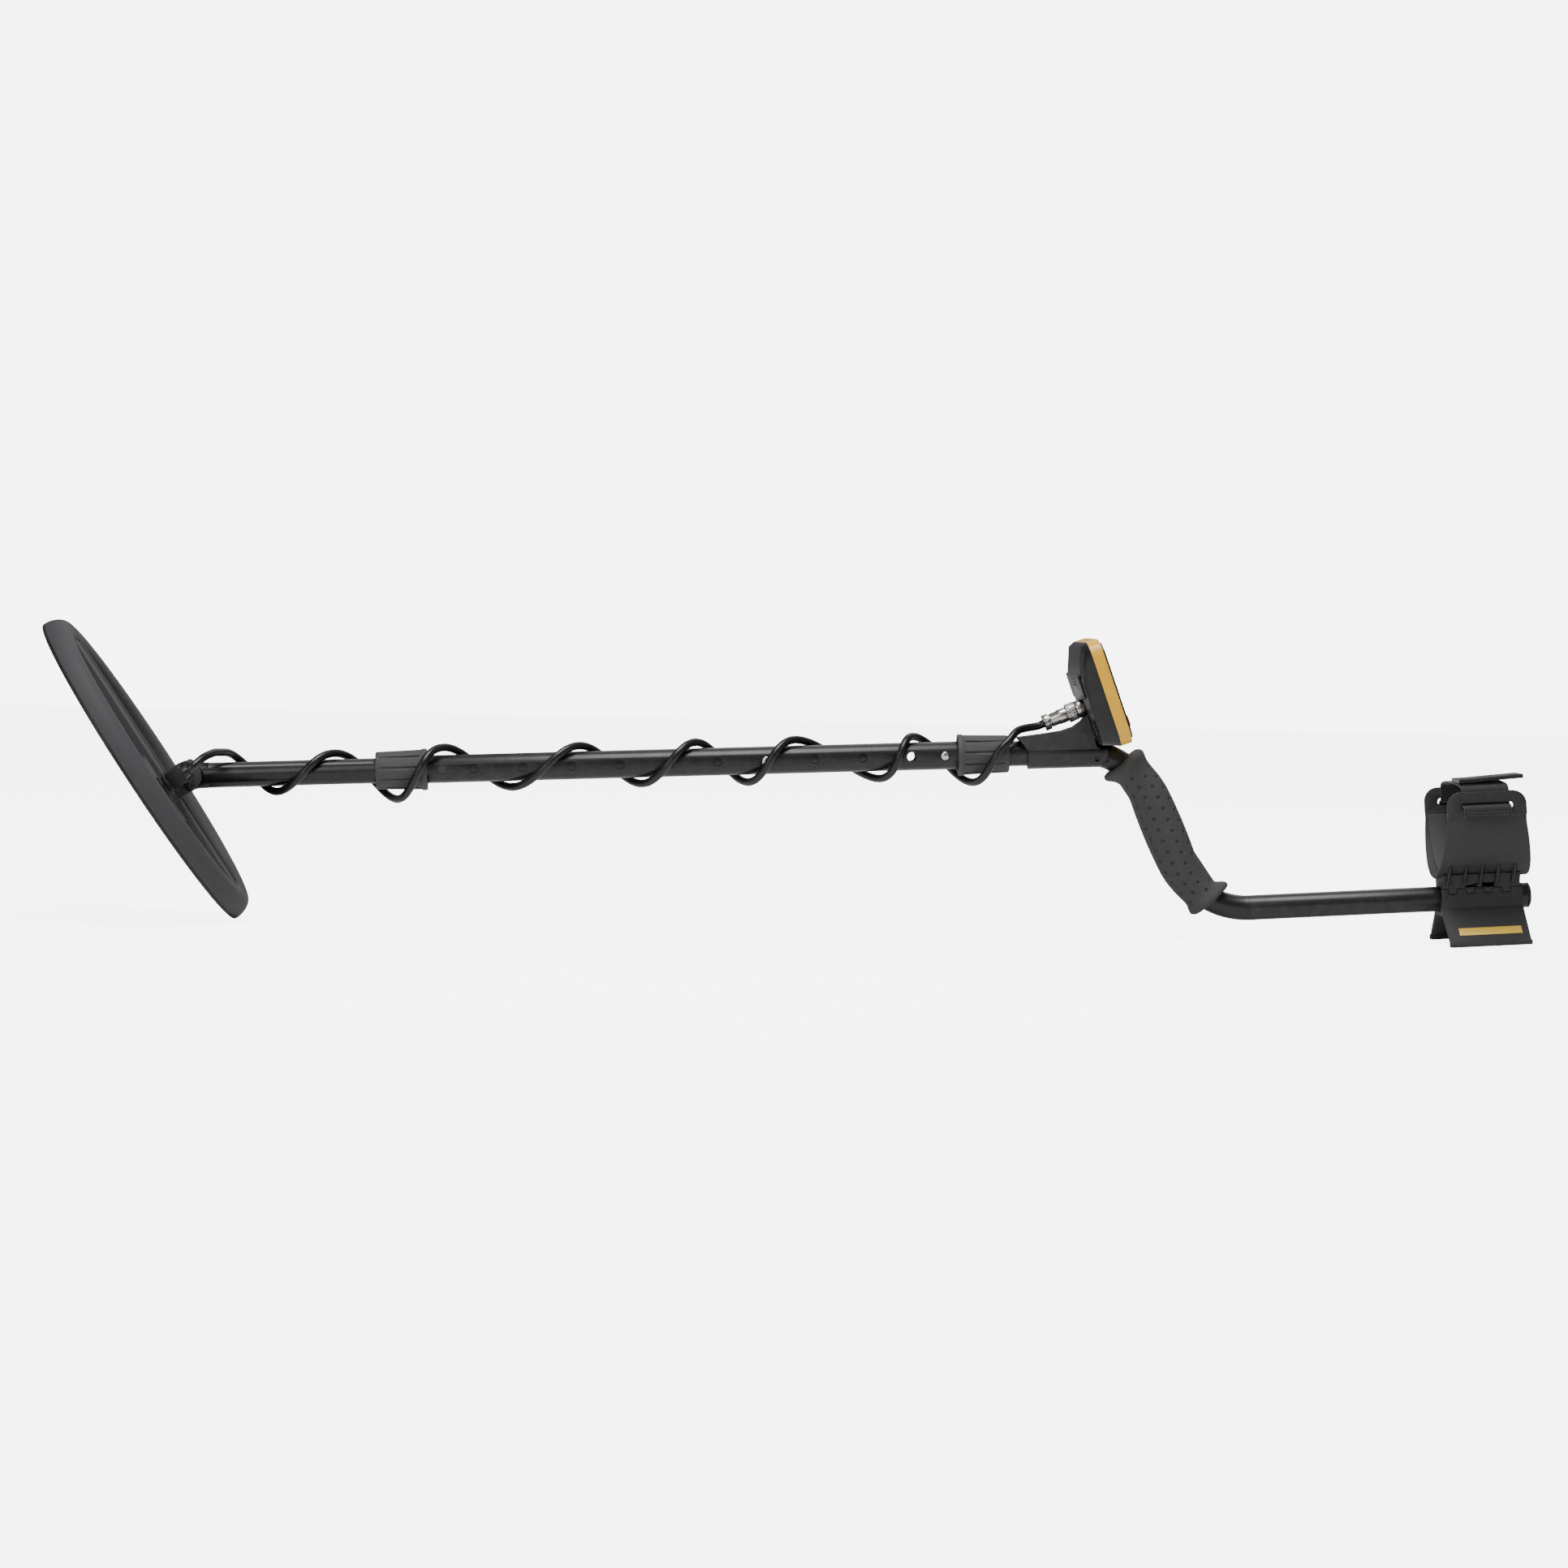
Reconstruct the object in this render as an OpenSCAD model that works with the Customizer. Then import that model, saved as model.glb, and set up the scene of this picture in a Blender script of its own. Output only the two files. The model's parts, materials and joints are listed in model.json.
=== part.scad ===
// Metal detector with a tilting elliptical search coil, a telescoping shaft with two twist
// locks, a bent handle tube with a dimpled grip, a control box and an arm cuff with a stand.
// +X runs from the coil to the arm cuff, +Z is up, and Y = 0 is the plane of the tubes.

/* [Tubes] */
// Rise of the shaft towards the handle, in degrees
shaft_rise = 2.7; // [2:0.1:3.4]
// Rise of the rear tube towards the arm cuff, in degrees
rear_rise = 3.75; // [3:0.1:5]
// Fall of the grip stretch of the handle tube, in degrees
grip_fall = 65.9; // [60:0.1:72]
// Outer radius of the lower stem and the handle tube
stem_r = 10; // [9.9:0.01:10.02]
// Outer radius of the middle tube
middle_r = 11.1; // [10.9:0.05:11.1]
// Bore radius of the middle tube
middle_bore_r = 10.05; // [10.03:0.01:10.1]
// Bore radius of the lower stem and the handle tube
stem_bore_r = 8.4; // [8:0.1:8.6]
// Bend radius of the handle tube's axis
bend_r = 60; // [56:1:62]
// Distance between two adjusting holes
hole_pitch = 38.6; // [37:0.1:39]
// Radius of the adjusting holes
hole_r = 3.6; // [3.5:0.05:4]

/* [Search coil] */
// Half of the coil's length
coil_a = 139; // [136:1:144]
// Half of the coil's width
coil_b = 108; // [90:1:112]
// Height of the coil's rim
rim_h = 18; // [17:0.5:20]
// Width of the raised rim
rim_w = 24; // [20:1:28]
// Angle of the coil's face against the floor, in degrees
coil_tilt = 56; // [50:1:58]

/* [Control box] */
// Width of the control box
box_w = 124; // [116:1:130]
// Height of the control box along its face
box_h = 86; // [84:1:90]
// Lean of the control box's face from upright, in degrees
box_lean = 20; // [18:1:22]

/* [Arm cuff] */
// Length of the arm cuff along the tube
cuff_len = 63; // [56:1:64]
// Inner radius of the cuff's cradle
cuff_r = 49; // [46:1:52]

/* [Cable] */
// Radius of the coil cable
cable_r = 3.2; // [2.8:0.1:3.3]

/* [Hidden] */
$fn = 64;

// The pivot of the coil, which is the origin of the shaft's own frame and the coil's own frame.
pivot = [-479.3, 0, 114.3];
// Distances along the shaft, from the pivot
stem_start = 13;
stem_end = 547;
middle_start = 157;
middle_end = 644;
handle_start = 588;
first_hole = 226.8;
hole_count = 10;
rest_hole = 6;
insert_hole = 201.7;
upper_hole = 600.8;
lower_button_s = first_hole + rest_hole * hole_pitch;
corner_s = 749.7;
// Bends of the handle tube
turn_1 = shaft_rise + grip_fall;
turn_2 = grip_fall + rear_rise;
tangent_1 = bend_r * tan(turn_1 / 2);
tangent_2 = bend_r * tan(turn_2 / 2);
grip_leg = 138.6;
bend_1_s = corner_s - tangent_1;
corner_1 = pivot + corner_s * [cos(shaft_rise), 0, sin(shaft_rise)];
corner_2 = corner_1 + grip_leg * [cos(grip_fall), 0, -sin(grip_fall)];
rear_end = 265;
// Coil, in its own frame: +X to the heel, +Z away from the ground face
coil_mid = -23;
ground_z = -30.6;
cover_t = 2.4;
web_h = 9;
spine_w = 40;
spine_h = 15;
hub_h = 13;
ear_r = 12;
ear_in = 10.2;
ear_out = 15.2;
bolt_r = 3;
run_gap = 0.05;
outline_n = 56;
gland_at = [-2.5, -42];
// Control box, in its own frame: +X out of its face, +Z up its face
box_at = [238.3, 0, 193.5];
box_round = 14;
seam_x = 3.8;
face_x = 13;
back_x = -9.4;
wall = 2.2;
back_drop = -8;
plug_tilt = 3.5;
plug_z = -6.9;
key_z = -26;
// Arm cuff, in the rear tube's frame: +X along the tube, +Z up
cuff_s = 195;
cradle_z = 68.5;
cradle_top = 87;
cuff_wall = 3;
slot_z = 75.5;
band_z = 67.4;
cuff_bolt_s = 226;
cuff_travel = 28;
stand_s = 194.5;
stand_len = 65;
stand_base = (corner_2[2] + stand_s * sin(rear_rise)) / cos(rear_rise);

// The cable's route round the shaft. Each row is the distance along the shaft from the
// pivot, the turn about the shaft in degrees, 0 below and 90 on the left, and the distance
// from the shaft's axis.
cable_route = [
  [4.6, 98, 42.4], [9, 103, 42], [15, 113, 37], [22, 130, 28],
  [29, 158, 19.5], [38, 210, 15.8], [51, 270, 14.4], [70, 360, 14.4], [92, 450, 14.4],
  [114, 540, 14.6], [139, 630, 19], [164.5, 720, 23], [184, 810, 22], [204, 900, 17.1],
  [256.6, 1080, 15.8], [310, 1260, 15.6], [359, 1440, 15.9], [402.4, 1620, 15.9],
  [443.8, 1800, 17], [481.8, 1980, 15.8], [548.3, 2160, 17], [575.3, 2340, 15.8],
  [598, 2430, 19.5], [622.6, 2520, 22], [641, 2610, 21], [651.5, 2643, 20.5],
  [661, 2680, 20.4], [675.3, 2700, 21.4], [681.8, 2700, 23.9], [690.2, 2700, 27.0]
];
front_end = 6;
middle_end_knot = 13;
cable_sides = 8;

// Placing frames
module on_shaft(s = 0) translate(pivot) rotate([0, -shaft_rise, 0]) translate([s, 0, 0]) children();
module on_coil() translate(pivot) rotate([0, coil_tilt, 0]) children();
module on_grip_leg() translate(corner_1) rotate([0, grip_fall, 0]) children();
module on_rear() translate(corner_2) rotate([0, -rear_rise, 0]) children();
module on_box() translate(box_at) rotate([0, -box_lean, 0]) children();

// Solids along the local X axis, across it or round it
module rod(r, x0, x1) translate([x0, 0, 0]) rotate([0, 90, 0]) cylinder(r = r, h = x1 - x0);
module cross_rod(r, y0, y1) translate([0, y1, 0]) rotate([90, 0, 0]) cylinder(r = r, h = y1 - y0);
module pipe(r, bore, x0, x1) difference() {
  rod(r, x0, x1);
  rod(bore, x0 - 1, x1 + 1);
}
module bar(x0, x1, y0, y1, z0, z1) translate([x0, y0, z0]) cube([x1 - x0, y1 - y0, z1 - z0]);
module mirrored_y() {
  children();
  mirror([0, 1, 0]) children();
}

// A rectangle with rounded corners, in the YZ plane after tile() has stood it up
module rounded(w, h, r) {
  square([w - 2 * r, h], center = true);
  square([w, h - 2 * r], center = true);
  for (x = [-1, 1], y = [-1, 1]) translate([x * (w / 2 - r), y * (h / 2 - r)]) circle(r = r);
}
// A rounded plate that faces +X, from x0 to x1
module tile(w, h, r, x0, x1) translate([x0, 0, 0]) rotate([90, 0, 90])
  linear_extrude(x1 - x0) rounded(w, h, r);

// ---- Search coil
function oval(a, b) = [for (i = [0:outline_n - 1]) let (t = 360 * i / outline_n) [a * cos(t), b * sin(t)]];
module oval_disc(inset, z0, z1) translate([coil_mid, 0, ground_z + z0])
  linear_extrude(z1 - z0) polygon(oval(coil_a - inset, coil_b - inset));
module oval_ring(outer, inner, z0, z1) difference() {
  oval_disc(outer, z0, z1);
  oval_disc(inner, z0 - 1, z1 + 1);
}
// Stack of ovals; each level is [inset, height above the ground face]
module oval_stack(levels) {
  n = outline_n;
  points = [for (l = levels) for (p = oval(coil_a - l[0], coil_b - l[0]))
    [p[0] + coil_mid, p[1], ground_z + l[1]]];
  sides = [for (k = [0:len(levels) - 2]) for (i = [0:n - 1])
    [k * n + i, (k + 1) * n + i, (k + 1) * n + (i + 1) % n, k * n + (i + 1) % n]];
  floor_face = [for (i = [0:n - 1]) i];
  top_face = [for (i = [n - 1:-1:0]) (len(levels) - 1) * n + i];
  polyhedron(points, concat([floor_face], sides, [top_face]));
}
module spine_bar(w, z0, z1, a0, a1) bar(coil_mid + a0, coil_mid + a1, -w / 2, w / 2, ground_z + z0, ground_z + z1);
module coil_shell() color([0.09, 0.09, 0.095]) on_coil() difference() {
  union() {
    difference() {
      oval_stack([[0.2, cover_t], [1.6, 9], [4.4, 14.8], [8.6, rim_h]]);
      oval_disc(rim_w, web_h, rim_h + 1);
      oval_ring(3, rim_w - 4, 0, 13.5);
    }
    intersection() {
      oval_disc(rim_w - 1, web_h - 1, rim_h);
      union() {
        spine_bar(spine_w, web_h - 2, spine_h, -coil_a, coil_a);
        for (y = [-1, 1]) translate([0, y * (spine_w / 2 - 2), 0])
          spine_bar(3, web_h - 2, spine_h + 1.6, -coil_a, coil_a);
      }
    }
    translate([0, 0, ground_z + web_h - 3]) linear_extrude(hub_h - web_h + 3)
      polygon([for (p = oval(34, 56)) p]);
    mirrored_y() translate([0, ear_out, 0]) rotate([90, 0, 0]) linear_extrude(ear_out - ear_in) {
      circle(r = ear_r);
      translate([0.6 - ear_r, ground_z + web_h - 3]) square([2 * ear_r - 1.2, -ground_z - web_h + 3]);
    }
  }
  cross_rod(bolt_r + run_gap, -40, 40);
  spine_bar(31, 0, 8, -104, -18);
  translate([0, 0, ground_z]) cylinder(r = 11, h = 7);
  translate([gland_at[0], gland_at[1], ground_z]) cylinder(r = 4.6, h = rim_h);
}
module coil_cover() color([0.07, 0.07, 0.075]) on_coil()
  oval_stack([[1.4, 0], [0.2, 1.2], [0.2, cover_t]]);
module transmit_winding() color([0.6, 0.3, 0.12]) on_coil() oval_ring(6, 13, 5, 11);
module receive_winding() color([0.62, 0.32, 0.14]) on_coil() difference() {
  spine_bar(28, 3.4, 7, -100, -24);
  spine_bar(18, 3, 8, -94, -30);
}

// ---- Cable gland on the coil and the pivot hardware
module cable_gland() color([0.1, 0.1, 0.1]) on_coil() translate([gland_at[0], gland_at[1], 0])
  difference() {
    union() {
      translate([0, 0, -17.6]) cylinder(r = 8.4, h = 2.4);
      translate([0, 0, -15.2]) cylinder(r = 6.6, h = 2);
      translate([0, 0, -13.2]) cylinder(r = 8, h = 1.8);
      translate([0, 0, -11.4]) cylinder(r = 6.6, h = 2);
      translate([-7, -7, -9.4]) cube([14, 14, 11.4]);
    }
    translate([0, 0, -20]) cylinder(r = cable_r + 0.4, h = 30);
  }
module gland_nut() color([0.06, 0.06, 0.06]) on_coil() translate([gland_at[0], gland_at[1], 2])
  difference() {
    cylinder(r1 = 5.4, r2 = 4, h = 5);
    translate([0, 0, -1]) cylinder(r = cable_r + 0.3, h = 8);
  }
module tilt_bolt() color([0.12, 0.12, 0.12]) on_coil() cross_rod(bolt_r, -27, 27);
module wing_nut() {
  difference() {
    union() {
      cross_rod(6, 15.6, 24);
      for (side = [-1, 1]) {
        rotate([0, 20, 0]) bar(side < 0 ? -9 : 2, side < 0 ? -2 : 9, 17, 21, -2, 4);
        rotate([0, 20, 0]) translate([side * 9, 0, 2.4]) cross_rod(3.4, 17, 21);
      }
    }
    cross_rod(bolt_r + run_gap, 14, 26);
  }
}
module left_wing_nut() color([0.08, 0.08, 0.08]) on_coil() mirror([0, 1, 0]) wing_nut();
module right_wing_nut() color([0.08, 0.08, 0.08]) on_coil() wing_nut();
module stem_washers() color([0.13, 0.13, 0.13]) on_shaft() mirrored_y() difference() {
  cross_rod(9, 8, 10.1);
  cross_rod(bolt_r + 0.4, 7, 11);
}

// ---- Lower stem and its spring buttons
module lower_stem() color([0.07, 0.07, 0.075]) on_shaft() difference() {
  union() {
    cross_rod(11, -8, 8);
    bar(0, stem_start + 4, -8, 8, -stem_r, stem_r);
    rod(stem_r, stem_start, stem_end);
  }
  rod(stem_bore_r, 40, stem_end + 1);
  cross_rod(bolt_r + run_gap, -12, 12);
  translate([lower_button_s, 0, 0]) cross_rod(3.3, -12, 12);
}
module spring_clip() {
  mirrored_y() difference() {
    bar(-8, 30, 6.6, 7.4, -3.8, 3.8);
    cross_rod(3.4, 6, 8);
  }
  translate([30, 0, -3]) difference() {
    cylinder(r = 7.4, h = 6);
    translate([0, 0, -1]) cylinder(r = 6.6, h = 8);
    translate([-10.2, -10, -1]) cube([10, 20, 8]);
  }
}
// Spring button on the right; its dome stands out of the tube
module spring_button(reach) {
  cross_rod(3.2, 4.6, reach - 1);
  translate([0, reach - 1, 0]) rotate([-90, 0, 0]) intersection() {
    translate([0, 0, -4.62]) sphere(r = 5.62);
    cylinder(r = 3.2, h = 2);
  }
}
lower_reach = 11.6;
upper_reach = 12.4;
module lower_spring_clip() color([0.6, 0.6, 0.62]) on_shaft(lower_button_s) spring_clip();
module lower_button_left() color([0.75, 0.75, 0.77]) on_shaft(lower_button_s)
  mirror([0, 1, 0]) spring_button(lower_reach);
module lower_button_right() color([0.75, 0.75, 0.77]) on_shaft(lower_button_s) spring_button(lower_reach);

// ---- Middle tube and the two twist locks
module middle_tube() color([0.1, 0.1, 0.105]) on_shaft() difference() {
  pipe(middle_r, middle_bore_r, middle_start, middle_end);
  for (i = [0:hole_count - 1]) translate([first_hole + i * hole_pitch, 0, 0]) cross_rod(hole_r, -14, 14);
  for (s = [insert_hole, upper_hole]) translate([s, 0, 0]) cross_rod(hole_r, -14, 14);
}
lock_len = 40.6;
lock_lip = 4;
sleeve_r = 13.2;
// Lock pieces, from the small end at X = 0 to the large end
module lock_sleeve() pipe(sleeve_r, middle_r, 8, 33);
module lock_collet() difference() {
  pipe(12.8, stem_r + 0.1, 4.5, 7.5);
  bar(4, 8, -1, 1, 8, 14);
}
module lock_collar() difference() {
  rotate([0, 90, 0]) rotate_extrude() polygon([
    [10.4, 0], [14.2, 0], [14.9, 1], [15.9, 36], [16.6, 37], [16.6, lock_len],
    [11.5, lock_len], [11.5, lock_len - lock_lip], [sleeve_r + 0.07, lock_len - lock_lip],
    [sleeve_r + 0.07, lock_lip], [10.4, lock_lip]
  ]);
  for (i = [0:9]) rotate([36 * i + 9, 0, 0]) {
    bar(3, 35, -0.7, 0.7, 14.4, 18);
    translate([0, 0, 16.1]) rotate([0, -1.6, 0]) bar(3, 35, 3.6, 4.6, -0.5, 2);
  }
}
module lower_lock_sleeve() color([0.06, 0.06, 0.065]) {
  on_shaft(middle_start - 8) lock_sleeve();
  on_shaft(insert_hole) mirrored_y() cross_rod(hole_r - 0.2, middle_bore_r + 0.1, middle_r - 0.1);
}
module lower_collet() color([0.16, 0.16, 0.16]) on_shaft(middle_start - 8) lock_collet();
module lower_collar() color([0.11, 0.11, 0.115]) on_shaft(middle_start - 8) lock_collar();
module upper_end() on_shaft(middle_end + 8) mirror([1, 0, 0]) children();
module upper_lock_sleeve() color([0.06, 0.06, 0.065]) upper_end() lock_sleeve();
module upper_collet() color([0.16, 0.16, 0.16]) upper_end() lock_collet();
module upper_collar() color([0.11, 0.11, 0.115]) upper_end() lock_collar();

// ---- Handle tube
// The straight stretches reach a little way into the bends, whose wall is a little thinner
weld_lap = 0.3;
bend_thinning = 0.03;
// A bend in the XZ plane about the local origin, from angle a to a + turn
module bend(r, a, turn) rotate([90, 0, 0]) rotate([0, 0, a]) rotate_extrude(angle = turn)
  translate([bend_r, 0]) circle(r = r);
module bend_pipe(a, turn) rotate([90, 0, 0]) rotate([0, 0, a]) rotate_extrude(angle = turn)
  translate([bend_r, 0]) difference() {
    circle(r = stem_r - bend_thinning);
    circle(r = stem_bore_r + bend_thinning);
  }
module handle_axis(r, start, end) {
  on_shaft() rod(r, start, bend_1_s + weld_lap);
  on_shaft(bend_1_s) translate([0, 0, -bend_r]) bend(r - bend_thinning, 90 - turn_1, turn_1);
  on_grip_leg() rod(r, tangent_1 - weld_lap, grip_leg - tangent_2 + weld_lap);
  on_rear() translate([tangent_2, 0, bend_r]) bend(r - bend_thinning, 270 - turn_2, turn_2);
  on_rear() rod(r, tangent_2 - weld_lap, end);
}
module handle_tube() color([0.09, 0.09, 0.095]) difference() {
  union() {
    on_shaft() pipe(stem_r, stem_bore_r, handle_start, bend_1_s + weld_lap);
    on_shaft(bend_1_s) translate([0, 0, -bend_r]) bend_pipe(90 - turn_1, turn_1);
    on_grip_leg() pipe(stem_r, stem_bore_r, tangent_1 - weld_lap, grip_leg - tangent_2 + weld_lap);
    on_rear() translate([tangent_2, 0, bend_r]) bend_pipe(270 - turn_2, turn_2);
    on_rear() pipe(stem_r, stem_bore_r, tangent_2 - weld_lap, rear_end);
  }
  on_shaft(upper_hole) cross_rod(3.3, -14, 14);
  on_rear() {
    for (s = [cuff_bolt_s - cuff_travel, cuff_bolt_s]) translate([s, 0, -20]) cylinder(r = 2.7, h = 40);
    bar(cuff_bolt_s - cuff_travel, cuff_bolt_s, -2.7, 2.7, -20, 20);
  }
}
module upper_spring_clip() color([0.6, 0.6, 0.62]) on_shaft(upper_hole) spring_clip();
module upper_button_left() color([0.8, 0.8, 0.82]) on_shaft(upper_hole)
  mirror([0, 1, 0]) spring_button(upper_reach);
module upper_button_right() color([0.8, 0.8, 0.82]) on_shaft(upper_hole) spring_button(upper_reach);
module tube_end_cap() color([0.05, 0.05, 0.05]) on_rear() {
  rod(stem_bore_r - 0.05, rear_end - 12, rear_end);
  rod(stem_r, rear_end, rear_end + 1.6);
  rotate([0, 90, 0]) translate([0, 0, rear_end + 1.6]) cylinder(r1 = stem_r, r2 = 7.6, h = 1.4);
}

// ---- Grip, swept round the handle tube. Rows: share of its length, outer radius, tilt of
// the ring below level, in degrees.
grip_rings = [
  [0, 17.4, 48], [0.018, 18.8, 48], [0.04, 18.4, 49], [0.075, 15.8, 52], [0.115, 14.6, 55],
  [0.17, 14.9, 59], [0.25, 15.7, 63], [0.33, 16.4, 65], [0.42, 16.8, 66], [0.5, 16.9, 66],
  [0.58, 16.7, 66], [0.66, 16.2, 65], [0.74, 15.5, 62], [0.82, 14.8, 58], [0.88, 14.4, 54],
  [0.925, 15, 50], [0.96, 18, 47], [0.982, 19, 46], [1, 17.8, 46]
];
grip_start = 34.6;
grip_len = 135;
arc_1 = bend_r * turn_1 * PI / 180;
leg_len = grip_leg - tangent_1 - tangent_2;
bend_1_at = pivot + bend_1_s * [cos(shaft_rise), 0, sin(shaft_rise)]
  + bend_r * [sin(shaft_rise), 0, -cos(shaft_rise)];
bend_2_at = corner_2 + tangent_2 * [cos(rear_rise), 0, sin(rear_rise)]
  + bend_r * [-sin(rear_rise), 0, cos(rear_rise)];
// Fall of the handle tube's axis, and its place, at distance d past the start of the first bend
function axis_fall(d) = d < arc_1 ? -shaft_rise + 180 * d / (bend_r * PI)
  : d < arc_1 + leg_len ? grip_fall
  : grip_fall - 180 * (d - arc_1 - leg_len) / (bend_r * PI);
function axis_at(d) = let (f = axis_fall(d))
  d < arc_1 ? bend_1_at + bend_r * [sin(f), 0, cos(f)]
  : d < arc_1 + leg_len
    ? bend_1_at + bend_r * [sin(f), 0, cos(f)] + (d - arc_1) * [cos(f), 0, -sin(f)]
  : bend_2_at - bend_r * [sin(f), 0, cos(f)];
module grip() {
  n = 28;
  m = len(grip_rings);
  function ring(k, outer) = let (
      d = grip_start + grip_rings[k][0] * grip_len,
      tilt = grip_rings[k][2],
      r = outer ? grip_rings[k][1] : stem_r + 0.5,
      slant = outer ? 1 : 1 / cos(tilt - axis_fall(d)),
      c = axis_at(d)
    ) [for (i = [0:n - 1]) let (t = 360 * i / n)
      c + r * [slant * sin(tilt) * cos(t), sin(t), slant * cos(tilt) * cos(t)]];
  points = [for (k = [0:m - 1]) each ring(k, true), for (k = [0:m - 1]) each ring(k, false)];
  function band(a, b) = [for (i = [0:n - 1]) [a + i, a + (i + 1) % n, b + (i + 1) % n, b + i]];
  outside = [for (k = [0:m - 2]) each band(k * n, (k + 1) * n)];
  inside = [for (k = [0:m - 2]) each band((m + k + 1) * n, (m + k) * n)];
  color([0.1, 0.1, 0.1])
    polyhedron(points, concat(outside, inside, band(m * n, 0), band((m - 1) * n, (2 * m - 1) * n)));
}

// ---- Saddle that carries the control box on the handle tube
saddle_r = 12.6;
saddle_front = 659;
saddle_rear = 731;
saddle_seam = 2.2;
module saddle_bore() handle_axis(stem_r + 0.05, saddle_front - 10, tangent_2 + 10);
module saddle_lower() color([0.09, 0.09, 0.095]) difference() {
  on_shaft() intersection() {
    rod(saddle_r, saddle_front + 8, saddle_rear);
    bar(saddle_front, saddle_rear + 1, -20, 20, -20, saddle_seam);
  }
  saddle_bore();
  on_shaft(722) translate([0, 0, -6]) cross_rod(1.6, -20, -8);
}
module saddle_upper() color([0.1, 0.1, 0.105]) difference() {
  on_shaft() intersection() {
    translate([0, saddle_r, 0]) rotate([90, 0, 0]) linear_extrude(2 * saddle_r) polygon([
      [saddle_front + 8, saddle_seam], [saddle_front, 13], [682, 15.4], [695, 17.2],
      [704, 20], [711, 24.6], [714.5, 29.2], [722, saddle_seam + 1], [saddle_rear, saddle_seam + 1],
      [saddle_rear, saddle_seam]
    ]);
    union() {
      rod(saddle_r, saddle_front - 1, saddle_rear);
      bar(saddle_front - 1, saddle_rear, -saddle_r, saddle_r, saddle_seam, 9);
      bar(saddle_front - 1, saddle_rear, -saddle_r, saddle_r, 9, 40);
    }
  }
  saddle_bore();
  on_box() bar(back_x, 40, -40, 40, -60, 60);
  on_plug() rod(8, -40, 4);
}

// ---- Control box
module box_form(grow, x0, x1) hull() {
  tile(box_w + 2 * grow, box_h + 2 * grow, box_round + grow, x1 - 0.1, x1);
  tile(box_w - 4 + 2 * grow, box_h - 4 + 2 * grow, box_round + grow, -1.5, -0.5);
  translate([0, 0, back_drop]) tile(box_w - 16 + 2 * grow, 60 + 2 * grow, box_round - 2 + grow, x0, x0 + 1);
}
module tube_channel() handle_axis(saddle_r + 0.3, saddle_front - 20, tangent_2 + 5);
module on_plug() on_box() translate([back_x, 0, plug_z]) rotate([0, -plug_tilt, 0]) children();
module cover_screw_places() for (y = [-1, 1], z = [-18, 18]) translate([0, y * 50, z]) children();
module back_cover() color([0.05, 0.05, 0.055]) difference() {
  on_box() difference() {
    box_form(0, back_x, seam_x);
    box_form(-wall, back_x + wall, seam_x + 0.2);
    bar(back_x - 1, back_x + wall + 1, -42, 42, 3.5, 19);
    for (y = [26:4:42], z = [-28:4:-16]) translate([0, y, z]) rod(1.1, back_x - 1, back_x + wall + 3);
    cover_screw_places() rod(2.1, back_x - 1, 5);
    translate([0, -38, -24]) rod(4.2, back_x - 1, back_x + wall + 3);
  }
  on_plug() rod(6.15, -2, 9);
  tube_channel();
}
module front_bezel() color([0.98, 0.68, 0.08]) difference() {
  on_box() difference() {
    tile(box_w, box_h, box_round, seam_x, face_x);
    tile(box_w - 12, box_h - 12, box_round - 5, face_x - 4, face_x + 1);
    tile(box_w - 2 * wall, box_h - 2 * wall, box_round - wall, seam_x - 1, face_x - 3.9);
  }
  tube_channel();
}
key_names_y = [-44, -27.5, -11, 11, 27.5, 44];
key_w = 12;
key_h = 9;
panel_x = face_x + 1.8;
module front_panel() color([0.03, 0.03, 0.035]) on_box() difference() {
  union() {
    tile(box_w - 12.4, box_h - 12.4, box_round - 5.2, face_x - 2, panel_x);
    tile(box_w - 7, box_h - 7, box_round - 3, face_x + 0.05, panel_x);
  }
  translate([0, 0, 12]) tile(84, 36, 3, face_x - 3, panel_x + 1);
  for (y = key_names_y) translate([0, y, key_z]) tile(key_w + 0.8, key_h + 0.8, 3.2, face_x - 3, panel_x + 1);
}
module display_window() color([0.35, 0.4, 0.36]) on_box() translate([0, 0, 12])
  tile(83.6, 35.6, 2.8, face_x - 1, panel_x - 0.4);
module display_module() color([0.55, 0.6, 0.5]) on_box() bar(8.2, 11.8, -40, 40, -4, 28);
module circuit_board() color([0.05, 0.3, 0.12]) on_box() difference() {
  bar(6.2, 7.6, -55, 55, -32, 35);
  bar(5, 9, -15, 15, -40, -16);
}
module speaker() color([0.15, 0.15, 0.15]) on_box() translate([0, 34, -22]) {
  rod(10, back_x + wall + 0.6, back_x + wall + 4);
  rod(7, back_x + wall + 3, 2);
}
cell_x = -1.2;
cell_z = [7.6, 18.6];
cell_y = [-45.2, 0.6];
cell_r = 5.25;
cell_len = 43.6;
module battery_tray() color([0.12, 0.12, 0.12]) on_box() difference() {
  bar(-4.6, 5.7, -47, 47, 1, 25.4);
  for (z = cell_z, y = cell_y) translate([cell_x, y - 0.3, z]) {
    rotate([-90, 0, 0]) cylinder(r = cell_r + 0.15, h = cell_len + 1.6);
    translate([-9, 0, -cell_r - 0.15]) cube([9, cell_len + 1.6, 2 * cell_r + 0.3]);
  }
}
module battery_cells() color([0.25, 0.3, 0.33]) on_box() for (z = cell_z, y = cell_y)
  translate([cell_x, y, z]) rotate([-90, 0, 0]) {
    cylinder(r = cell_r, h = cell_len);
    translate([0, 0, cell_len - 0.5]) cylinder(r = 1.9, h = 1.3);
  }
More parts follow.
